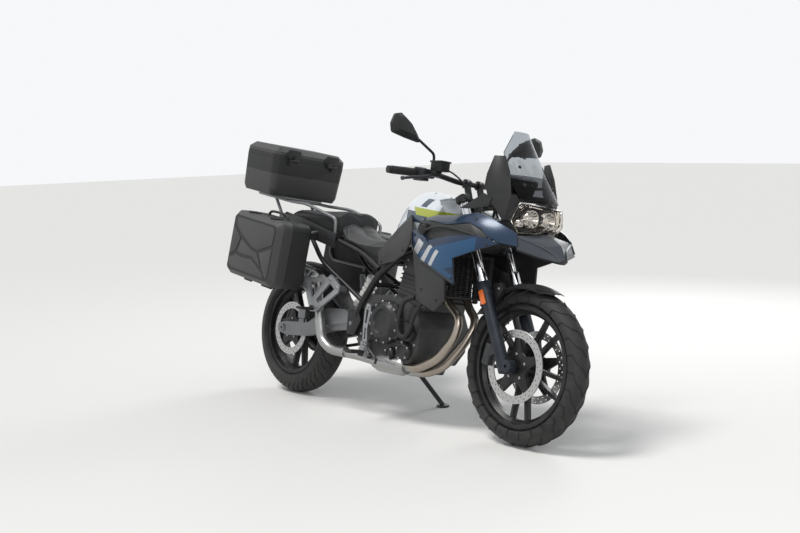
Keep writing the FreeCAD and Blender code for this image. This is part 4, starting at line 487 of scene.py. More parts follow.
# Fork: painted cast lower legs on hard-chromed steel tubes, held by cast clamps under a tubular bar.
# The chrome is a second finish on the tubes' own faces. An amber reflector is glued to each leg.
fork_grey = finish("fork_grey_paint", (0.020, 0.026, 0.036), roughness=0.36, metallic=0.4, dust=0.25,
                   dust_scale=16.0, grain=0.12, grain_scale=1400.0, bump=0.0001)
chrome = finish("hard_chrome", (0.66, 0.67, 0.69), roughness=0.1, metallic=1.0, dust=0.06, dust_scale=40.0)
fork = softened_copy("fork_legs", [fork_grey, chrome], 0.0014)
LEG_X, LEG_Y, LEG_TOP, TUBE_R = 0.029, 0.103, 0.7215, 0.0212
to_steer = STEER.inverted() @ upright
for face in fork.data.polygons:
    spot = to_steer @ face.center
    if spot.z > LEG_TOP and math.hypot(spot.x - LEG_X, abs(spot.y) - LEG_Y) < TUBE_R:
        face.material_index = 1
cast_black = finish("cast_black", (0.03, 0.031, 0.033), roughness=0.46, metallic=0.4, dust=0.25,
                    dust_scale=20.0, grain=0.5, grain_scale=800.0, bump=0.0002)
softened_copy("fork_clamps", cast_black, 0.0016)
softened_copy("handlebar", satin_black, 0.0)
amber = finish("amber_reflector", (0.85, 0.17, 0.02), roughness=0.22, dust=0.12, coat=0.6)


def plate(outline, thick, edge):
    """A flat plate whose outline is given as (across, up), raised by its thickness, with rounded edges."""
    bpy.ops.object.select_all(action="DESELECT")
    bpy.ops.mesh.primitive_circle_add(vertices=len(outline), radius=1, fill_type="NGON")
    made = bpy.context.object
    for vertex, spot in zip(made.data.vertices, outline):
        vertex.co = (spot[0], spot[1], 0)
    bpy.ops.object.mode_set(mode="EDIT")
    bpy.ops.mesh.select_all(action="SELECT")
    bpy.ops.mesh.extrude_region_move(TRANSFORM_OT_translate={"value": (0, 0, thick)})
    bpy.ops.mesh.select_all(action="SELECT")
    bpy.ops.mesh.normals_make_consistent(inside=False)
    bpy.ops.object.mode_set(mode="OBJECT")
    applied(made, "BEVEL", width=edge, segments=2, limit_method="ANGLE")
    bpy.ops.object.shade_smooth_by_angle(angle=math.radians(30))
    return made


def facing_side(side, x, y, z):
    """Place of a plate that stands on the right (-1) or left (1) flank, its thickness going outward."""
    return Matrix(((-side, 0, 0, x), (0, 0, side, y), (0, 1, 0, z), (0, 0, 0, 1)))


def even(*half):
    """The outline of a plate that is even on both sides, from its right half told upward."""
    return [*half, *[(-across, up) for across, up in reversed(half)]]


for side, name in SIDES:
    reflector = plate(even((0.011, -0.031), (0.013, -0.028), (0.013, 0.028), (0.011, 0.031)), 0.006, 0.0014)
    reflector.matrix_world = facing_side(side, LEG_X, side * 0.1285, 0.655)
    settle(reflector, "fork_reflector_" + name, "steering", amber, place=PARK @ STEER)

# Controls: black moulded housings clamped to the bar, with satin cast levers and soft rubber grips.
# The grips carry moulded ribs, and the brake cup's cap is held by four small screws.
soft_rubber = finish("soft_rubber", (0.014, 0.014, 0.015), roughness=0.6, dust=0.2, dust_scale=26.0,
                     grain=0.35, grain_scale=700.0, bump=0.0002, specular=0.3)
moulded_black = finish("moulded_black", (0.0125, 0.013, 0.014), roughness=0.46, dust=0.16, dust_scale=16.0,
                       grain=0.6, grain_scale=1000.0, bump=0.0003)
lever_black = finish("lever_black", (0.05, 0.052, 0.055), roughness=0.3, metallic=0.6, dust=0.1,
                     dust_scale=40.0)
controls = softened_copy("hand_controls", [moulded_black, lever_black, soft_rubber], 0.0013)
BAR_KNEE, BAR_TIP = Vector((1.098, 0.185, 1.098)), Vector((1.060, 0.425, 1.090))
bar_way = (BAR_TIP - BAR_KNEE).normalized()


def bar_spot(y, side):
    """Point on the straight outer stretch of the handlebar."""
    spot = BAR_KNEE + bar_way * ((y - BAR_KNEE.y) / bar_way.y)
    return Vector((spot.x, side * spot.y, spot.z))


for face in controls.data.polygons:
    spot = upright @ face.center
    nearest = bar_spot(abs(spot.y), 1)
    off_bar = math.hypot(spot.x - nearest.x, spot.z - nearest.z)
    if off_bar > 0.030 and spot.z < nearest.z - 0.006 and abs(spot.y) > 0.24:
        face.material_index = 1
    elif off_bar < 0.019 and 0.302 < abs(spot.y) < 0.4242:
        face.material_index = 2


def ring(outer_r, thick_r, around, across, place):
    """A smooth round ring, laid across the upward direction of its place."""
    bpy.ops.object.select_all(action="DESELECT")
    bpy.ops.mesh.primitive_torus_add(major_radius=outer_r, minor_radius=thick_r, major_segments=around,
                                     minor_segments=across)
    bpy.ops.object.shade_smooth()
    bpy.context.object.matrix_world = place
    return bpy.context.object


for side, name in SIDES:
    way = Vector((bar_way.x, side * bar_way.y, bar_way.z))
    ribs = [ring(0.0168, 0.0012, 28, 6, aimed(bar_spot(0.312 + k * 0.0078, side), way)) for k in range(14)]
    settle(joined(ribs), "grip_ribs_" + name, "steering", soft_rubber)
spots = [touch("hand_controls", (x, y, 1.25), (0, 0, -1)) for x in (1.112, 1.168) for y in (-0.214, -0.258)]
screw_heads("cup_screws", "steering", zinc, spots, 0.0028, 0.002)

# Riser screws: plated socket heads that hold the handlebar down on its two risers.
# Four to each riser, set along the bar.
spots = [touch("fork_clamps", (x, y, 1.3), (0.454 * 0.4, 0, -1)) for x in (1.108, 1.146)
         for y in (-0.048, -0.028, 0.028, 0.048)]
screw_heads("riser_screws", "steering", zinc, spots, 0.004, 0.003)

# Mirrors: dark moulded heads on bent steel stems that screw into the control housings.
# A silvered glass is glued into each rear face.
softened_copy("mirrors", moulded_black, 0.0015)
silvered = finish("silvered_glass", (0.80, 0.82, 0.84), roughness=0.02, metallic=1.0, dust=0.02)
mirror_foot = bar_spot(0.222, 1) + Vector((0, 0, 0.0203))
glass_outline = [(y * 0.0009, z * 0.0009) for y, z in
                 ((96, 0), (90, -30), (60, -46), (0, -50), (-70, -56), (-88, -56), (-90, -46),
                  (-60, -14), (-30, 12), (10, 36), (50, 48), (78, 36), (94, 14))]
for side, name, head_at in ((1, "left", (-0.056, 0.188, 0.190)), (-1, "right", (0.030, 0.193, 0.158))):
    outline = glass_outline if side > 0 else [(-y, z) for y, z in reversed(glass_outline)]
    glass = plate(outline, 0.0014, 0.0004)
    middle = mirror_foot + Vector(head_at) - Vector((0.008, 0, 0))
    middle.y *= side
    spin = Matrix.Rotation(math.radians(-8 * side), 4, "Z")
    rearward = Matrix(((0, 0, 1, -0.0011), (1, 0, 0, 0), (0, 1, 0, 0), (0, 0, 0, 1)))
    glass.matrix_world = Matrix.Translation(middle) @ spin @ rearward
    settle(glass, "mirror_glass_" + name, "steering", silvered)

# Front mudguard and calipers: a moulded black sheet on its brackets over the tyre, and painted cast
# calipers on both discs. Plated bolts hold them to the fork legs.
softened_copy("front_fender", moulded_black, 0.001)


def side_spots(node, places):
    """Where lines from both flanks first meet a dressed node, at places given as (forward, up)."""
    return [touch(node, (x, side * 0.4, z), (0, -side, 0)) for side in (-1, 1) for x, z in places]


caliper_paint = finish("caliper_paint", (0.04, 0.042, 0.046), roughness=0.4, metallic=0.4, dust=0.3,
                       dust_scale=26.0, grain=0.3)
softened_copy("front_calipers", caliper_paint, 0.0016)
spots = side_spots("front_calipers", [(WHEELBASE - behind, FRONT_R + above) for behind, above in
                                      ((0.128, 0.118), (0.100, 0.082), (0.150, 0.088))])
spots += side_spots("front_fender", ((1.404, 0.600), (1.438, 0.640)))
screw_heads("front_end_screws", "steering", zinc, spots, 0.0055, 0.004)


# Brake hoses: black rubber hoses from the cup on the handlebar down behind the fork to each caliper.
# Each is one smooth curve with its thickness, made a mesh; they turn with the fork.
def hose(name, body, material, route, radius, place=PARK):
    """A round rod or hose along a smooth curve through its route, closed at both ends."""
    line = bpy.data.curves.new(name, "CURVE")
    line.dimensions = "3D"
    line.bevel_depth, line.bevel_resolution, line.resolution_u = radius, 3, 10
    run = line.splines.new("NURBS")
    run.points.add(len(route) - 1)
    for point, spot in zip(run.points, route):
        point.co = (*spot, 1)
    run.order_u, run.use_endpoint_u = 4, True
    line.use_fill_caps = True
    made = bpy.data.objects.new(name, line)
    bpy.context.scene.collection.objects.link(made)
    only(made)
    bpy.ops.object.convert(target="MESH")
    bpy.ops.object.shade_smooth()
    settle(bpy.context.object, name, body, material, place=place)


def on_side(side, route):
    """A route given for the left, on the right (-1) or the left (1)."""
    return [(x, side * y, z) for x, y, z in route]


hose("brake_hose_cup", "steering", soft_rubber,
     [(1.166, -0.206, 1.118), (1.188, -0.190, 1.112), (1.214, -0.150, 1.080), (1.226, -0.104, 1.035),
      (1.232, -0.086, 0.985), (1.262, -0.082, 0.93), (1.29, -0.078, 0.872)], 0.0038)
leg_hose = [(1.29, 0.070, 0.872), (1.306, 0.078, 0.820), (1.306, 0.088, 0.740), (1.328, 0.095, 0.660),
            (1.372, 0.094, 0.560), (1.40, 0.092, 0.490), (1.415, 0.092, 0.462)]
for side, name in SIDES:
    hose("brake_hose_" + name, "steering", soft_rubber, on_side(side, leg_hose), 0.0036)

# Frame: welded steel tubes, powder-coated satin black, with the side stand on its bracket. The swing arm
# is cast alloy with a silver lacquer, and a pale enamelled coil spring stands behind the engine.
softened_copy("main_frame", satin_black, 0.001)
softened_copy("rear_frame", satin_black, 0.0)
arm_silver = finish("arm_silver", (0.20, 0.205, 0.212), roughness=0.40, metallic=0.7, dust=0.25,
                    dust_scale=15.0, grain=0.4, bump=0.0002)
softened_copy("swing_arm", arm_silver, 0.002)
softened_copy("rear_shock", finish("spring_enamel", (0.60, 0.60, 0.58), roughness=0.35, dust=0.4,
                                   dust_scale=20.0, coat=0.3), 0.0008)
softened_copy("side_stand", satin_black, 0.001)
softened_copy("stand_bracket", satin_black, 0.001)

# Engine: cast crankcase, cylinders and head in a dark heat-proof coating. Black painted side covers are
# screwed on round their rims, the cam cover from the sides, and rubber hoses carry the coolant to the
# radiator.
engine_grey = finish("engine_grey", (0.046, 0.047, 0.049), roughness=0.5, metallic=0.4, dust=0.4,
                     dust_scale=13.0, grain=0.9, grain_scale=520.0, bump=0.0005)
softened_copy("engine_block", engine_grey, 0.0022)
cover_black = finish("cover_black", (0.022, 0.0225, 0.024), roughness=0.34, metallic=0.3, dust=0.24,
                     dust_scale=15.0, grain=0.35, grain_scale=900.0, bump=0.0002)
softened_copy("engine_covers", cover_black, 0.0016)
spots = []
for side, x, z, radius, count in ((-1, 0.828, 0.432, 0.0925, 12), (-1, 0.968, 0.318, 0.037, 5),
                                  (-1, 0.872, 0.300, 0.021, 3), (1, 0.930, 0.400, 0.081, 10)):
    rim = round_spots("engine_covers", side, x, z, radius, count, 0.35)
    spots += [(found[0], Vector((0, side, 0))) for found in rim if found]
for x, z in ((0.672, 0.362), (0.672, 0.448), (0.706, 0.432), (0.708, 0.356)):
    spots.append(touch("engine_covers", (x, 0.4, z), (0, -1, 0)))
screw_heads("cover_screws", "chassis", zinc, spots, 0.0050, 0.0045)
spots = side_spots("engine_block", ((0.900, 0.722), (1.060, 0.700), (0.890, 0.690), (0.862, 0.556),
                                    (1.020, 0.520), (0.66, 0.52), (0.63, 0.36), (0.70, 0.275),
                                    (0.95, 0.268), (1.02, 0.35)))
spots = [found for found in spots if found and abs(found[1].y) > 0.9]
screw_heads("engine_screws", "chassis", zinc, spots, 0.0060, 0.005)
spots = side_spots("engine_block", ((0.930, 0.780), (0.985, 0.785), (1.045, 0.772)))
screw_heads("cam_cover_screws", "chassis", zinc, spots, 0.0052, 0.004)
softened_copy("coolant_hoses", soft_rubber, 0.0)

# Radiator: a black core of thin cooling fins between flat water tubes, held by its side tanks behind the
# fork. The fins are a fine ribbed relief in the finish.
fins = finish("radiator_fins", (0.03, 0.03, 0.031), roughness=0.5, metallic=0.5, dust=0.4)
stripes = shader_node(fins.node_tree, "ShaderNodeTexWave",
                      {"Vector": upright_coords(fins.node_tree), "Scale": 150.0}, bands_direction="Y")
emboss(fins.node_tree, stripes.outputs["Fac"], 0.0008)
softened_copy("radiator", fins, 0.0)

# Exhaust: stainless header pipes browned by heat ahead of a bright collector and link pipe.
# The brushed silencer hangs on the right behind its case, in two rolled bands.
heated_steel = finish("heated_steel", (0.36, 0.315, 0.265), roughness=0.3, metallic=1.0, dust=0.25,
                      dust_scale=11.0)
bright_steel = finish("bright_steel", (0.36, 0.36, 0.355), roughness=0.3, metallic=1.0, dust=0.22,
                      dust_scale=18.0)
COLLECTOR_X = 0.99
pipes = softened_copy("exhaust_pipes", [heated_steel, bright_steel], 0.0)
refinish(pipes, 1, lambda spot, way: spot.x < COLLECTOR_X)
softened_copy("silencer", bright_steel, 0.0012)
start, end = Vector((0.268, -0.130, 0.574)), Vector((-0.150, -0.128, 0.650))
run = (end - start).normalized()
for k, share in enumerate((0.12, 0.86)):
    band = ring(0.0500, 0.0022, 56, 8, aimed(start.lerp(end, share), run) @ Matrix.Diagonal((1, 1, 3.2, 1)))
    settle(band, "silencer_band_" + str(k + 1), "chassis", bright_steel)

# Hangers and footrests: silver gravity castings fixed to the frame with large screws.
# Their pegs carry rubber, and the brake pedal and gear lever are satin black.
cast_silver = finish("cast_silver", (0.30, 0.31, 0.322), roughness=0.42, metallic=0.7, dust=0.25,
                     dust_scale=18.0, grain=0.5, grain_scale=700.0, bump=0.0003)
hangers = softened_copy("passenger_hangers", [cast_silver, soft_rubber], 0.0018)
HANGER_OUT_Y, PEG_IN_Y, PEG_TOP_Z, PEG_FRONT_X, LEVER_BACK_X = 0.2035, 0.1895, 0.294, 0.742, 0.745
refinish(hangers, 1, lambda spot, way: abs(spot.y) > HANGER_OUT_Y)
rests = softened_copy("footrests", [cast_silver, soft_rubber, lever_black], 0.0014)
refinish(rests, 1, lambda spot, way: abs(spot.y) > PEG_IN_Y and spot.z < PEG_TOP_Z and spot.x < PEG_FRONT_X)
refinish(rests, 2, lambda spot, way: spot.x > LEVER_BACK_X)
spots = side_spots("passenger_hangers", ((0.430, 0.592), (0.486, 0.556), (0.190, 0.614), (0.216, 0.600)))
spots += side_spots("footrests", ((0.706, 0.490), (0.700, 0.322), (0.705, 0.384)))
screw_heads("rest_screws", "chassis", zinc, spots, 0.0068, 0.005)


# Tank cover: a moulded shell painted pearl white, with a lime area on each shoulder over a dark lower
# edge. The painted areas are plain slanted fields, and screws hold the shell round its filler and at its
# front.
area_mask, area_in, area_out = new_group(
    "slanted_area", [(label, "NodeSocketFloat", value) for label, value in
                     (("Middle X", 0.0), ("Middle Z", 0.0), ("Half Length", 0.1), ("Half Height", 0.1),
                      ("Slant", 0.0), ("Rise", 0.0))], [("Mask", "NodeSocketFloat")])
axes = shader_node(area_mask, "ShaderNodeSeparateXYZ", {"Vector": upright_coords(area_mask)}).outputs
across, along = [reckon(area_mask, "SUBTRACT", axes[axis], area_in.outputs["Middle " + axis])
                 for axis in "XZ"]
inside = []
for own, other, lean_by, half in ((across, along, "Slant", "Half Length"),
                                  (along, across, "Rise", "Half Height")):
    leaned = reckon(area_mask, "MULTIPLY", other, area_in.outputs[lean_by])
    size = reckon(area_mask, "ABSOLUTE", reckon(area_mask, "SUBTRACT", own, leaned))
    inside.append(reckon(area_mask, "LESS_THAN", size, area_in.outputs[half]))
area_mask.links.new(reckon(area_mask, "MULTIPLY", *inside), area_out.inputs["Mask"])


def painted_area(material, colour, middle, half_length, half_height, slant=0.0, rise=0.0):
    """Paint one slanted field over the finish's colour, under its dust."""
    tree = material.node_tree
    under = tree.nodes["dust"].inputs["Colour"]
    field = shader_node(tree, "ShaderNodeGroup",
                        {"Middle X": middle[0], "Middle Z": middle[1], "Half Length": half_length,
                         "Half Height": half_height, "Slant": slant, "Rise": rise}, node_tree=area_mask)
    below = under.links[0].from_socket if under.links else under.default_value
    over = shader_node(tree, "ShaderNodeMix",
                       {"Factor": field.outputs["Mask"], "A": below, "B": (*colour, 1)}, data_type="RGBA")
    tree.links.new(over.outputs["Result"], under)


pearl_white = finish("pearl_white", (0.66, 0.70, 0.74), roughness=0.18, metallic=0.08, dust=0.08,
                     dust_scale=10.0, coat=0.8)
painted_area(pearl_white, (0.030, 0.052, 0.085), (1.045, 0.905), 0.16, 0.024, 0.0, -0.10)
painted_area(pearl_white, (0.34, 0.38, 0.03), (1.052, 0.931), 0.094, 0.017, -0.9, -0.10)
painted_area(pearl_white, (0.030, 0.052, 0.085), (1.012, 0.978), 0.022, 0.020, 0.5, -0.10)
softened_copy("tank_cover", pearl_white, 0.003, 3)
spots = []
for side in (-1, 1):
    for x, y in ((1.078, 0.075), (0.985, 0.085)):
        spots.append(touch("tank_cover", (x, side * y, 1.3), (0, 0, -1)))
for k in range(6):
    angle = math.radians(60 * k + 30)
    spots.append(touch("tank_cover", (0.905 + 0.027 * math.cos(angle), 0.027 * math.sin(angle), 1.3),
                       (0, 0, -1)))
screw_heads("tank_screws", "chassis", zinc, spots, 0.0042, 0.003)

# Side panels: moulded panels painted in two blues with plain pale slanted bands, over bare dark inner
# panels. Each painted panel's inner face stays black plastic. A black rim runs along its lower edge, a
# black louvre lies between it and the strip above, and screws with black heads hold them all.
DEEP_BLUE = (0.004, 0.020, 0.056)
MID_BLUE = (0.005, 0.056, 0.140)
BAND_GREY = (0.46, 0.47, 0.48)
side_blue = finish("side_blue", DEEP_BLUE, roughness=0.26, metallic=0.25, dust=0.08, dust_scale=10.0,
                   coat=0.4)
painted_area(side_blue, MID_BLUE, (1.24, 0.742), 0.20, 0.052, 0.0, 0.22)
painted_area(side_blue, MID_BLUE, (1.27, 0.665), 0.075, 0.030, -0.3, -0.40)
painted_area(side_blue, BAND_GREY, (1.075, 0.782), 0.030, 0.034, 0.75, -0.42)
painted_area(side_blue, BAND_GREY, (1.148, 0.752), 0.017, 0.050, 0.85, -0.42)
painted_area(side_blue, BAND_GREY, (1.200, 0.738), 0.013, 0.044, 0.85, -0.42)
strip_blue = finish("strip_blue", (0.005, 0.024, 0.060), roughness=0.28, metallic=0.25, dust=0.08,
                    dust_scale=10.0, coat=0.35)
painted_area(strip_blue, (0.045, 0.060, 0.085), (1.12, 0.908), 0.16, 0.014, 0.0, 0.02)
inner_grey = finish("inner_grey", (0.026, 0.0265, 0.027), roughness=0.45, dust=0.2, dust_scale=12.0,
                    grain=0.8)
panel_grey = finish("panel_grey", (0.036, 0.0365, 0.036), roughness=0.45, dust=0.2, dust_scale=12.0,
                    grain=0.7)


panel_edge = [(1.002, 0.2165, 0.846), (1.006, 0.2185, 0.812), (1.012, 0.2205, 0.782),
              (1.055, 0.2335, 0.752), (1.100, 0.2455, 0.726), (1.180, 0.2478, 0.697),
              (1.262, 0.2495, 0.665), (1.332, 0.2510, 0.640)]
louvre = [(x, 0.2385 + 0.010 * math.sin((x - 1.1) * 9), z)
          for x, z in ((1.110, 0.853), (1.170, 0.872), (1.240, 0.874), (1.300, 0.868), (1.370, 0.856),
                       (1.425, 0.846))]
for node, outer, width, limit in (("side_fairings", side_blue, 0.0022, 0.35),
                                  ("upper_strips", strip_blue, 0.0022, 0.1),
                                  ("knee_panels", panel_grey, 0.0022, 0.0),
                                  ("inner_fairings", inner_grey, 0.0015, 0.0)):
    panel = softened_copy(node, [outer, moulded_black], width)
    refinish(panel, 1, lambda spot, way: way.y * math.copysign(1, spot.y) < limit and way.z < 0.6)
for side, name in SIDES:
    hose("panel_edge_" + name, "chassis", moulded_black, on_side(side, panel_edge), 0.0042)
    hose("louvre_" + name, "chassis", moulded_black, on_side(side, louvre), 0.0058)
spots = side_spots("side_fairings", ((1.030, 0.832), (1.320, 0.660), (1.488, 0.812)))
spots += side_spots("knee_panels", ((0.960, 0.892), (0.775, 0.700), (0.940, 0.760)))
spots += side_spots("inner_fairings", ((1.10, 0.600), (1.20, 0.560)))
spots += side_spots("upper_strips", ((1.06, 0.904), (1.40, 0.915)))
screw_heads("panel_screws", "chassis", cast_black, spots, 0.0062, 0.0025)

# Round caps: a bare domed cap in a dark turned rim on each side panel, with nothing printed on it.
# They are pressed discs that snap into the panels.
def ball(radius, around, place):
    """A smooth ball, squashed where its place is."""
    bpy.ops.object.select_all(action="DESELECT")
    bpy.ops.mesh.primitive_uv_sphere_add(segments=around, ring_count=around // 2, radius=radius)
    bpy.ops.object.shade_smooth()
    bpy.context.object.matrix_world = place
    return bpy.context.object


for side, name in SIDES:
    place = facing_side(side, 1.084, side * 0.2318, 0.861) @ Matrix.Diagonal((1, 1, 0.26, 1))
    settle(ball(0.0205, 40, place), "bare_cap_" + name, "chassis", cover_black)
    rim = ring(0.0232, 0.0026, 48, 10, facing_side(side, 1.084, side * 0.2325, 0.861))
    settle(rim, "cap_rim_" + name, "chassis", cast_black)

# Nose: a moulded black cowl round the headlamp, and a beak painted dark blue-grey under it.
# The beak's two raised ridges run forward to its tip, and its underside stays bare plastic.
beak_grey = finish("beak_grey", (0.040, 0.047, 0.060), roughness=0.3, metallic=0.15, dust=0.12,
                   dust_scale=12.0, coat=0.4)
softened_copy("nose_cowl", moulded_black, 0.0022)
beak = softened_copy("beak", [beak_grey, moulded_black], 0.0022)
refinish(beak, 1, lambda spot, way: way.z < -0.45 or way.x < -0.3)
ridge = [(1.586, 0.168, 0.855), (1.612, 0.128, 0.842), (1.650, 0.064, 0.824), (1.682, 0.038, 0.800),
         (1.702, 0.022, 0.775)]
for side, name in SIDES:
    hose("beak_ridge_" + name, "chassis", beak_grey, on_side(side, ridge), 0.0030)

# Headlamp: a dark moulded lamp body with two chromed bowls and two small side bowls behind a warm clear
# lens. A mirrored dome stands in each bowl.
lamp = softened_copy("headlamp", [moulded_black, chrome], 0.0010)
LAMP_FACE_X = 1.5125
LAMP_BOWLS = (("main", 0.050, 0.938, 0.0368, 0.019), ("small", 0.104, 0.916, 0.0158, 0.008))
refinish(lamp, 1, lambda spot, way: spot.x > LAMP_FACE_X and any(
    math.hypot(abs(spot.y) - y, spot.z - z) < bowl_r for _, y, z, bowl_r, _ in LAMP_BOWLS))
clear_dome = finish("clear_dome", (0.75, 0.77, 0.80), roughness=0.03, metallic=0.9, dust=0.02)
for side, name in SIDES:
    for kind, y, z, _, dome_r in LAMP_BOWLS:
        place = Matrix.Translation((1.531, side * y, z)) @ Matrix.Diagonal((0.7, 1, 1, 1))
        settle(ball(dome_r, 32, place), "lamp_" + kind + "_dome_" + name, "chassis", clear_dome)


def clear_sheet(name, tint):
    """A clear moulded sheet with a tint of its own."""
    made = finish(name, tint, roughness=0.03, dust=0.03)
    shader = made.node_tree.nodes["Principled BSDF"]
    shader.inputs["Transmission Weight"].default_value = 1.0
    shader.inputs["IOR"].default_value = 1.2
    return made


softened_copy("headlamp_lens", clear_sheet("lamp_glass", (0.86, 0.82, 0.76)), 0.0008)

# Windscreen: one curved sheet of grey tinted acrylic, smoked darker at its foot.
# Four black screws hold it to the stays of the nose.
screen_acrylic = clear_sheet("screen_acrylic", (0.42, 0.45, 0.47))
painted_area(screen_acrylic, (0.13, 0.14, 0.155), (1.50, 1.04), 0.3, 0.075)
softened_copy("windscreen", screen_acrylic, 0.0)
spots = [touch("windscreen", (1.9, y, z), (-1, 0, 0))
         for y, z in ((-0.085, 1.075), (0.085, 1.075), (-0.075, 1.150), (0.075, 1.150))]
screw_heads("screen_screws", "chassis", cast_black, spots, 0.0070, 0.004)

# Instruments: a moulded black binnacle behind the screen, facing the rider.
# It holds a bare dark display under glass, and a round dial in a plated bezel.
softened_copy("instruments", moulded_black, 0.0015)
display = finish("bare_display", (0.008, 0.009, 0.011), roughness=0.06, dust=0.05, coat=1.0)
binnacle = Matrix.Translation((1.385, 0, 1.085)) @ Matrix.Rotation(math.radians(28), 4, "Y")
rider_side = binnacle @ Matrix(((0, 0, -1, 0), (-1, 0, 0, 0), (0, 1, 0, 0), (0, 0, 0, 1)))
glass = plate([(-0.076, -0.030), (0.006, -0.030), (0.006, 0.030), (-0.076, 0.030)], 0.0012, 0.0005)
glass.matrix_world = rider_side
settle(glass, "display_glass", "chassis", display)
bezel = ring(0.030, 0.0022, 56, 8, rider_side @ Matrix.Translation((0.044, 0, 0.0006)))
settle(bezel, "dial_bezel", "chassis", zinc)

# Seats: two foam seats under grained vinyl, the rider's dished on top. The cover is blown up a little as
# cloth, then the dish is pressed in, the seams are sunk, and the welt between the top panel and the sides
# is drawn tight.
seat_vinyl = finish("seat_vinyl", (0.022, 0.0228, 0.024), roughness=0.55, dust=0.18, dust_scale=12.0,
                    grain=1.0, grain_scale=650.0, bump=0.0004)
seat_top = finish("seat_top_vinyl", (0.048, 0.0485, 0.050), roughness=0.58, dust=0.15, dust_scale=12.0,
                  grain=1.0, grain_scale=480.0, bump=0.0005)


def foam_seat(node, shrink, cap, middle, reach, dish, seams):
    """The seat's solid remeshed, blown up as cloth by a few millimetres, dished on top and seamed."""
    piece = softened_copy(node, [seat_vinyl, seat_top], 0.010, 3, 30)
    only(piece)
    applied(piece, "REMESH", mode="VOXEL", voxel_size=0.0055)
    applied(piece, "SMOOTH", factor=0.5, iterations=8)
    ways = [vertex.normal.copy() for vertex in piece.data.vertices]
    for vertex, way in zip(piece.data.vertices, ways):
        vertex.co -= way * shrink
    start = [vertex.co.copy() for vertex in piece.data.vertices]
    cloth = piece.modifiers.new("cover", "CLOTH")
    cloth.settings.use_pressure = True
    cloth.settings.uniform_pressure_force = 4.0
    cloth.settings.effector_weights.gravity = 0.0
    for frame_number in range(1, 21):
        bpy.context.scene.frame_set(frame_number)
    bpy.ops.object.modifier_apply(modifier="cover")
    bpy.context.scene.frame_set(1)
    for vertex, first in zip(piece.data.vertices, start):
        moved = vertex.co - first
        if moved.length > cap:
            vertex.co = first + moved.normalized() * cap
    applied(piece, "SUBSURF", levels=1, render_levels=1)
    turned = upright.to_3x3()
    ways = [vertex.normal.copy() for vertex in piece.data.vertices]
    for vertex, normal in zip(piece.data.vertices, ways):
        spot = upright @ vertex.co
        way = turned @ normal
        out = math.hypot((spot.x - middle[0]) / reach[0], spot.y / reach[1])
        facing_up = min(max(way.z * 1.8, 0.0), 1.0)
        press = dish * max(0.0, 1.0 - out * out) * facing_up
        welt = 0.0022 * math.exp(-((out - 1.0) * reach[1] / 0.0034) ** 2) * facing_up
        channel = 0.0
        for seam_x in seams:
            channel += 0.0022 * math.exp(-((spot.x - seam_x) / 0.0036) ** 2) * facing_up
        vertex.co -= normal * (press + welt + channel)
    for face in piece.data.polygons:
        spot = upright @ face.center
        out = math.hypot((spot.x - middle[0]) / reach[0], spot.y / reach[1])
        face.material_index = 1 if out < 1.0 and (turned @ face.normal).z > 0.25 else 0
    bpy.ops.object.shade_smooth()


foam_seat("rider_seat", 0.0020, 0.0035, (0.500, 0), (0.150, 0.132), 0.0070, (0.385,))
foam_seat("pillion_seat", 0.0020, 0.0035, (0.130, 0), (0.190, 0.105), 0.0030, (0.012, 0.300))

# Tail: moulded black covers, and a rear mudguard whose arm carries a bare pressed plate on two screws.
# A red lamp sits above it, with amber blinkers on black stems.
softened_copy("tail_covers", moulded_black, 0.0018)
softened_copy("rear_mudguard", moulded_black, 0.0015)
softened_copy("number_plate", finish("bare_plate", (0.62, 0.62, 0.60), roughness=0.4, dust=0.25), 0.0008)
red_lens = finish("red_lens", (0.36, 0.012, 0.010), roughness=0.12, dust=0.12, coat=0.6)
tail_lamps = softened_copy("tail_lamps", [red_lens, amber, moulded_black], 0.0012)
BLINKER_TOP_Z, BLINKER_FRONT_X, BLINKER_IN_Y = 0.80, -0.262, 0.101
refinish(tail_lamps, 2, lambda spot, way: spot.z < BLINKER_TOP_Z)
refinish(tail_lamps, 1, lambda spot, way: spot.z < BLINKER_TOP_Z and spot.x < BLINKER_FRONT_X
         and abs(spot.y) > BLINKER_IN_Y)
spots = [touch("number_plate", (-0.6, y, 0.655), (1, 0, 0)) for y in (-0.06, 0.06)]
screw_heads("plate_screws", "chassis", zinc, spots, 0.0050, 0.003)

# Cases: moulded cases of grained dark plastic, hung on the rack and the rear frame. Each side lid carries
# five raised panels that leave dark crossing channels, and the top case has a darker band round its
# parting line. Latches, handles and hinge covers are separate mouldings screwed on.
CASE_DARK = (0.018, 0.0185, 0.019)
case_grey, top_grey = [finish(name, (0.050, 0.0505, 0.050), roughness=0.52, dust=0.2, dust_scale=9.0,
                              grain=0.9, grain_scale=620.0, bump=0.0004)
                       for name in ("case_grey", "top_case_grey")]
case_dark = finish("case_dark", CASE_DARK, roughness=0.5, dust=0.2, dust_scale=9.0, grain=0.9,
                   grain_scale=620.0, bump=0.0004)
CASE_TILT = math.radians(7.5)
PANNIER = Matrix.Translation((0.034, 0, 0.703)) @ Matrix.Rotation(CASE_TILT, 4, "Y")
TOP_CASE = Matrix.Translation((-0.239, 0, 1.121)) @ Matrix.Rotation(CASE_TILT, 4, "Y")
LID_FACE_Y = 0.3955
softened_copy("pannier_shells", case_dark, 0.003, 3)
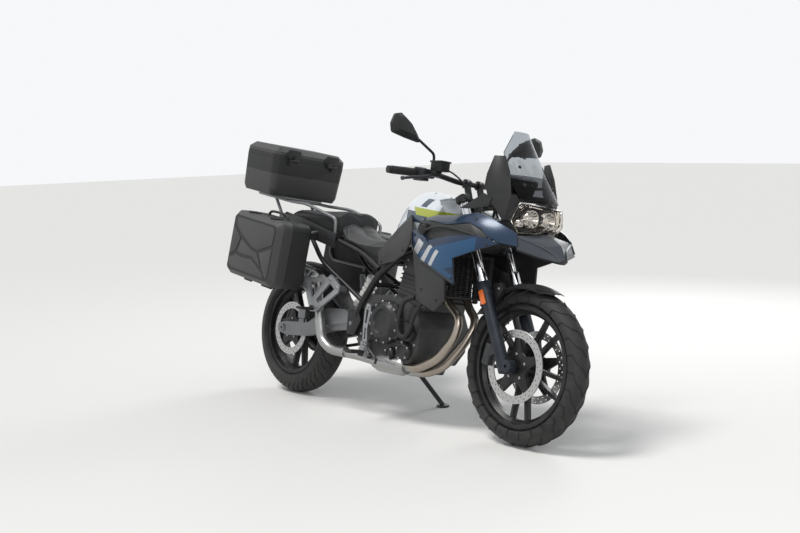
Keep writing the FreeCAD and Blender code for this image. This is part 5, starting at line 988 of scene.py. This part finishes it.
lid_panels = {"crown": [(-0.160, 0.126), (0.160, 0.126), (0.176, 0.110), (0.172, 0.040), (0.060, -0.002),
                        (0.012, 0.004), (-0.100, 0.050), (-0.150, 0.086)],
              "front": [(0.176, 0.026), (0.176, -0.112), (0.164, -0.124), (0.146, -0.110), (0.076, -0.016)],
              "rear": [(-0.160, 0.070), (-0.176, 0.080), (-0.178, -0.066), (-0.128, -0.036),
                       (-0.104, 0.030)],
              "centre": [(-0.092, 0.026), (0.006, -0.010), (0.058, -0.018), (0.108, -0.080),
                         (0.020, -0.040), (-0.070, -0.046), (-0.112, -0.040)],
              "foot": [(-0.176, -0.084), (-0.116, -0.056), (-0.070, -0.062), (0.024, -0.056),
                       (0.120, -0.098), (0.150, -0.126), (-0.150, -0.126), (-0.170, -0.112)]}
in_pannier = PANNIER.inverted() @ upright
for side, lid in ((-1, "pannier_right_lid"), (1, "pannier_left_lid")):
    for face in softened_copy(lid, [case_grey, case_dark], 0.003, 3).data.polygons:
        spot = in_pannier @ face.center
        way = in_pannier.to_3x3() @ face.normal
        if way.y * side > 0.96 and abs(spot.y) > LID_FACE_Y - 0.0105:
            face.material_index = 1
    raised = []
    for outline in lid_panels.values():
        shape = [(-side * x, z) for x, z in outline]
        if side > 0:
            shape.reverse()
        one = plate(shape, 0.0030, 0.0011)
        one.matrix_world = PANNIER @ facing_side(side, 0, side * LID_FACE_Y, 0)
        raised.append(one)
    settle(joined(raised), lid.replace("_lid", "_raised_panels"), lid, case_grey)
    for k, x in enumerate((-0.095, 0.095)):
        latch = plate(even((0.020, -0.030), (0.024, -0.024), (0.024, 0.020), (0.014, 0.030)), 0.006, 0.0018)
        latch.matrix_world = (PANNIER @ Matrix.Translation((x, side * 0.345, 0.1615))
                              @ Matrix.Diagonal((side, side, 1, 1)))
        settle(latch, lid.replace("_lid", "_latch_") + str(k + 1), lid, case_dark)
    grip = [(x, side * 0.268, z) for x, z in ((-0.085, 0.158), (-0.080, 0.178), (-0.066, 0.187),
                                              (0.066, 0.187), (0.080, 0.178), (0.085, 0.158))]
    hose(lid.replace("_lid", "_handle"), "chassis", case_dark, grip, 0.0065, PARK @ PANNIER)
painted_area(top_grey, CASE_DARK, (-0.2344, 1.1557), 0.4, 0.050, 0.0, -math.tan(CASE_TILT))
softened_copy("top_case_shell", top_grey, 0.003, 3)
softened_copy("top_case_lid", top_grey, 0.003, 3)
for y, name in ((-0.1215, "right"), (0.1215, "left")):
    cover = plate(even((0.040, -0.012), (0.044, -0.006), (0.044, 0.022), (0.036, 0.034)), 0.0055, 0.0018)
    cover.matrix_world = TOP_CASE @ Matrix(((0, 0, 1, 0.1475), (1, 0, 0, y), (0, 1, 0, 0.084),
                                            (0, 0, 0, 1)))
    settle(cover, "top_hinge_cover_" + name, "top_case_lid", case_dark)
    lock = plate(even((0.020, -0.028), (0.024, -0.022), (0.024, 0.022), (0.018, 0.030)), 0.006, 0.0018)
    lock.matrix_world = TOP_CASE @ Matrix(((0, 0, -1, -0.1465), (-1, 0, 0, y), (0, 1, 0, 0.088),
                                           (0, 0, 0, 1)))
    settle(lock, "top_case_latch_" + name, "top_case_lid", case_dark)

# Luggage rack: bent and welded steel tubes with a silver powder coat, under the top case.
# It is screwed to the rear frame beside the seats.
softened_copy("luggage_rack", arm_silver, 0.001)
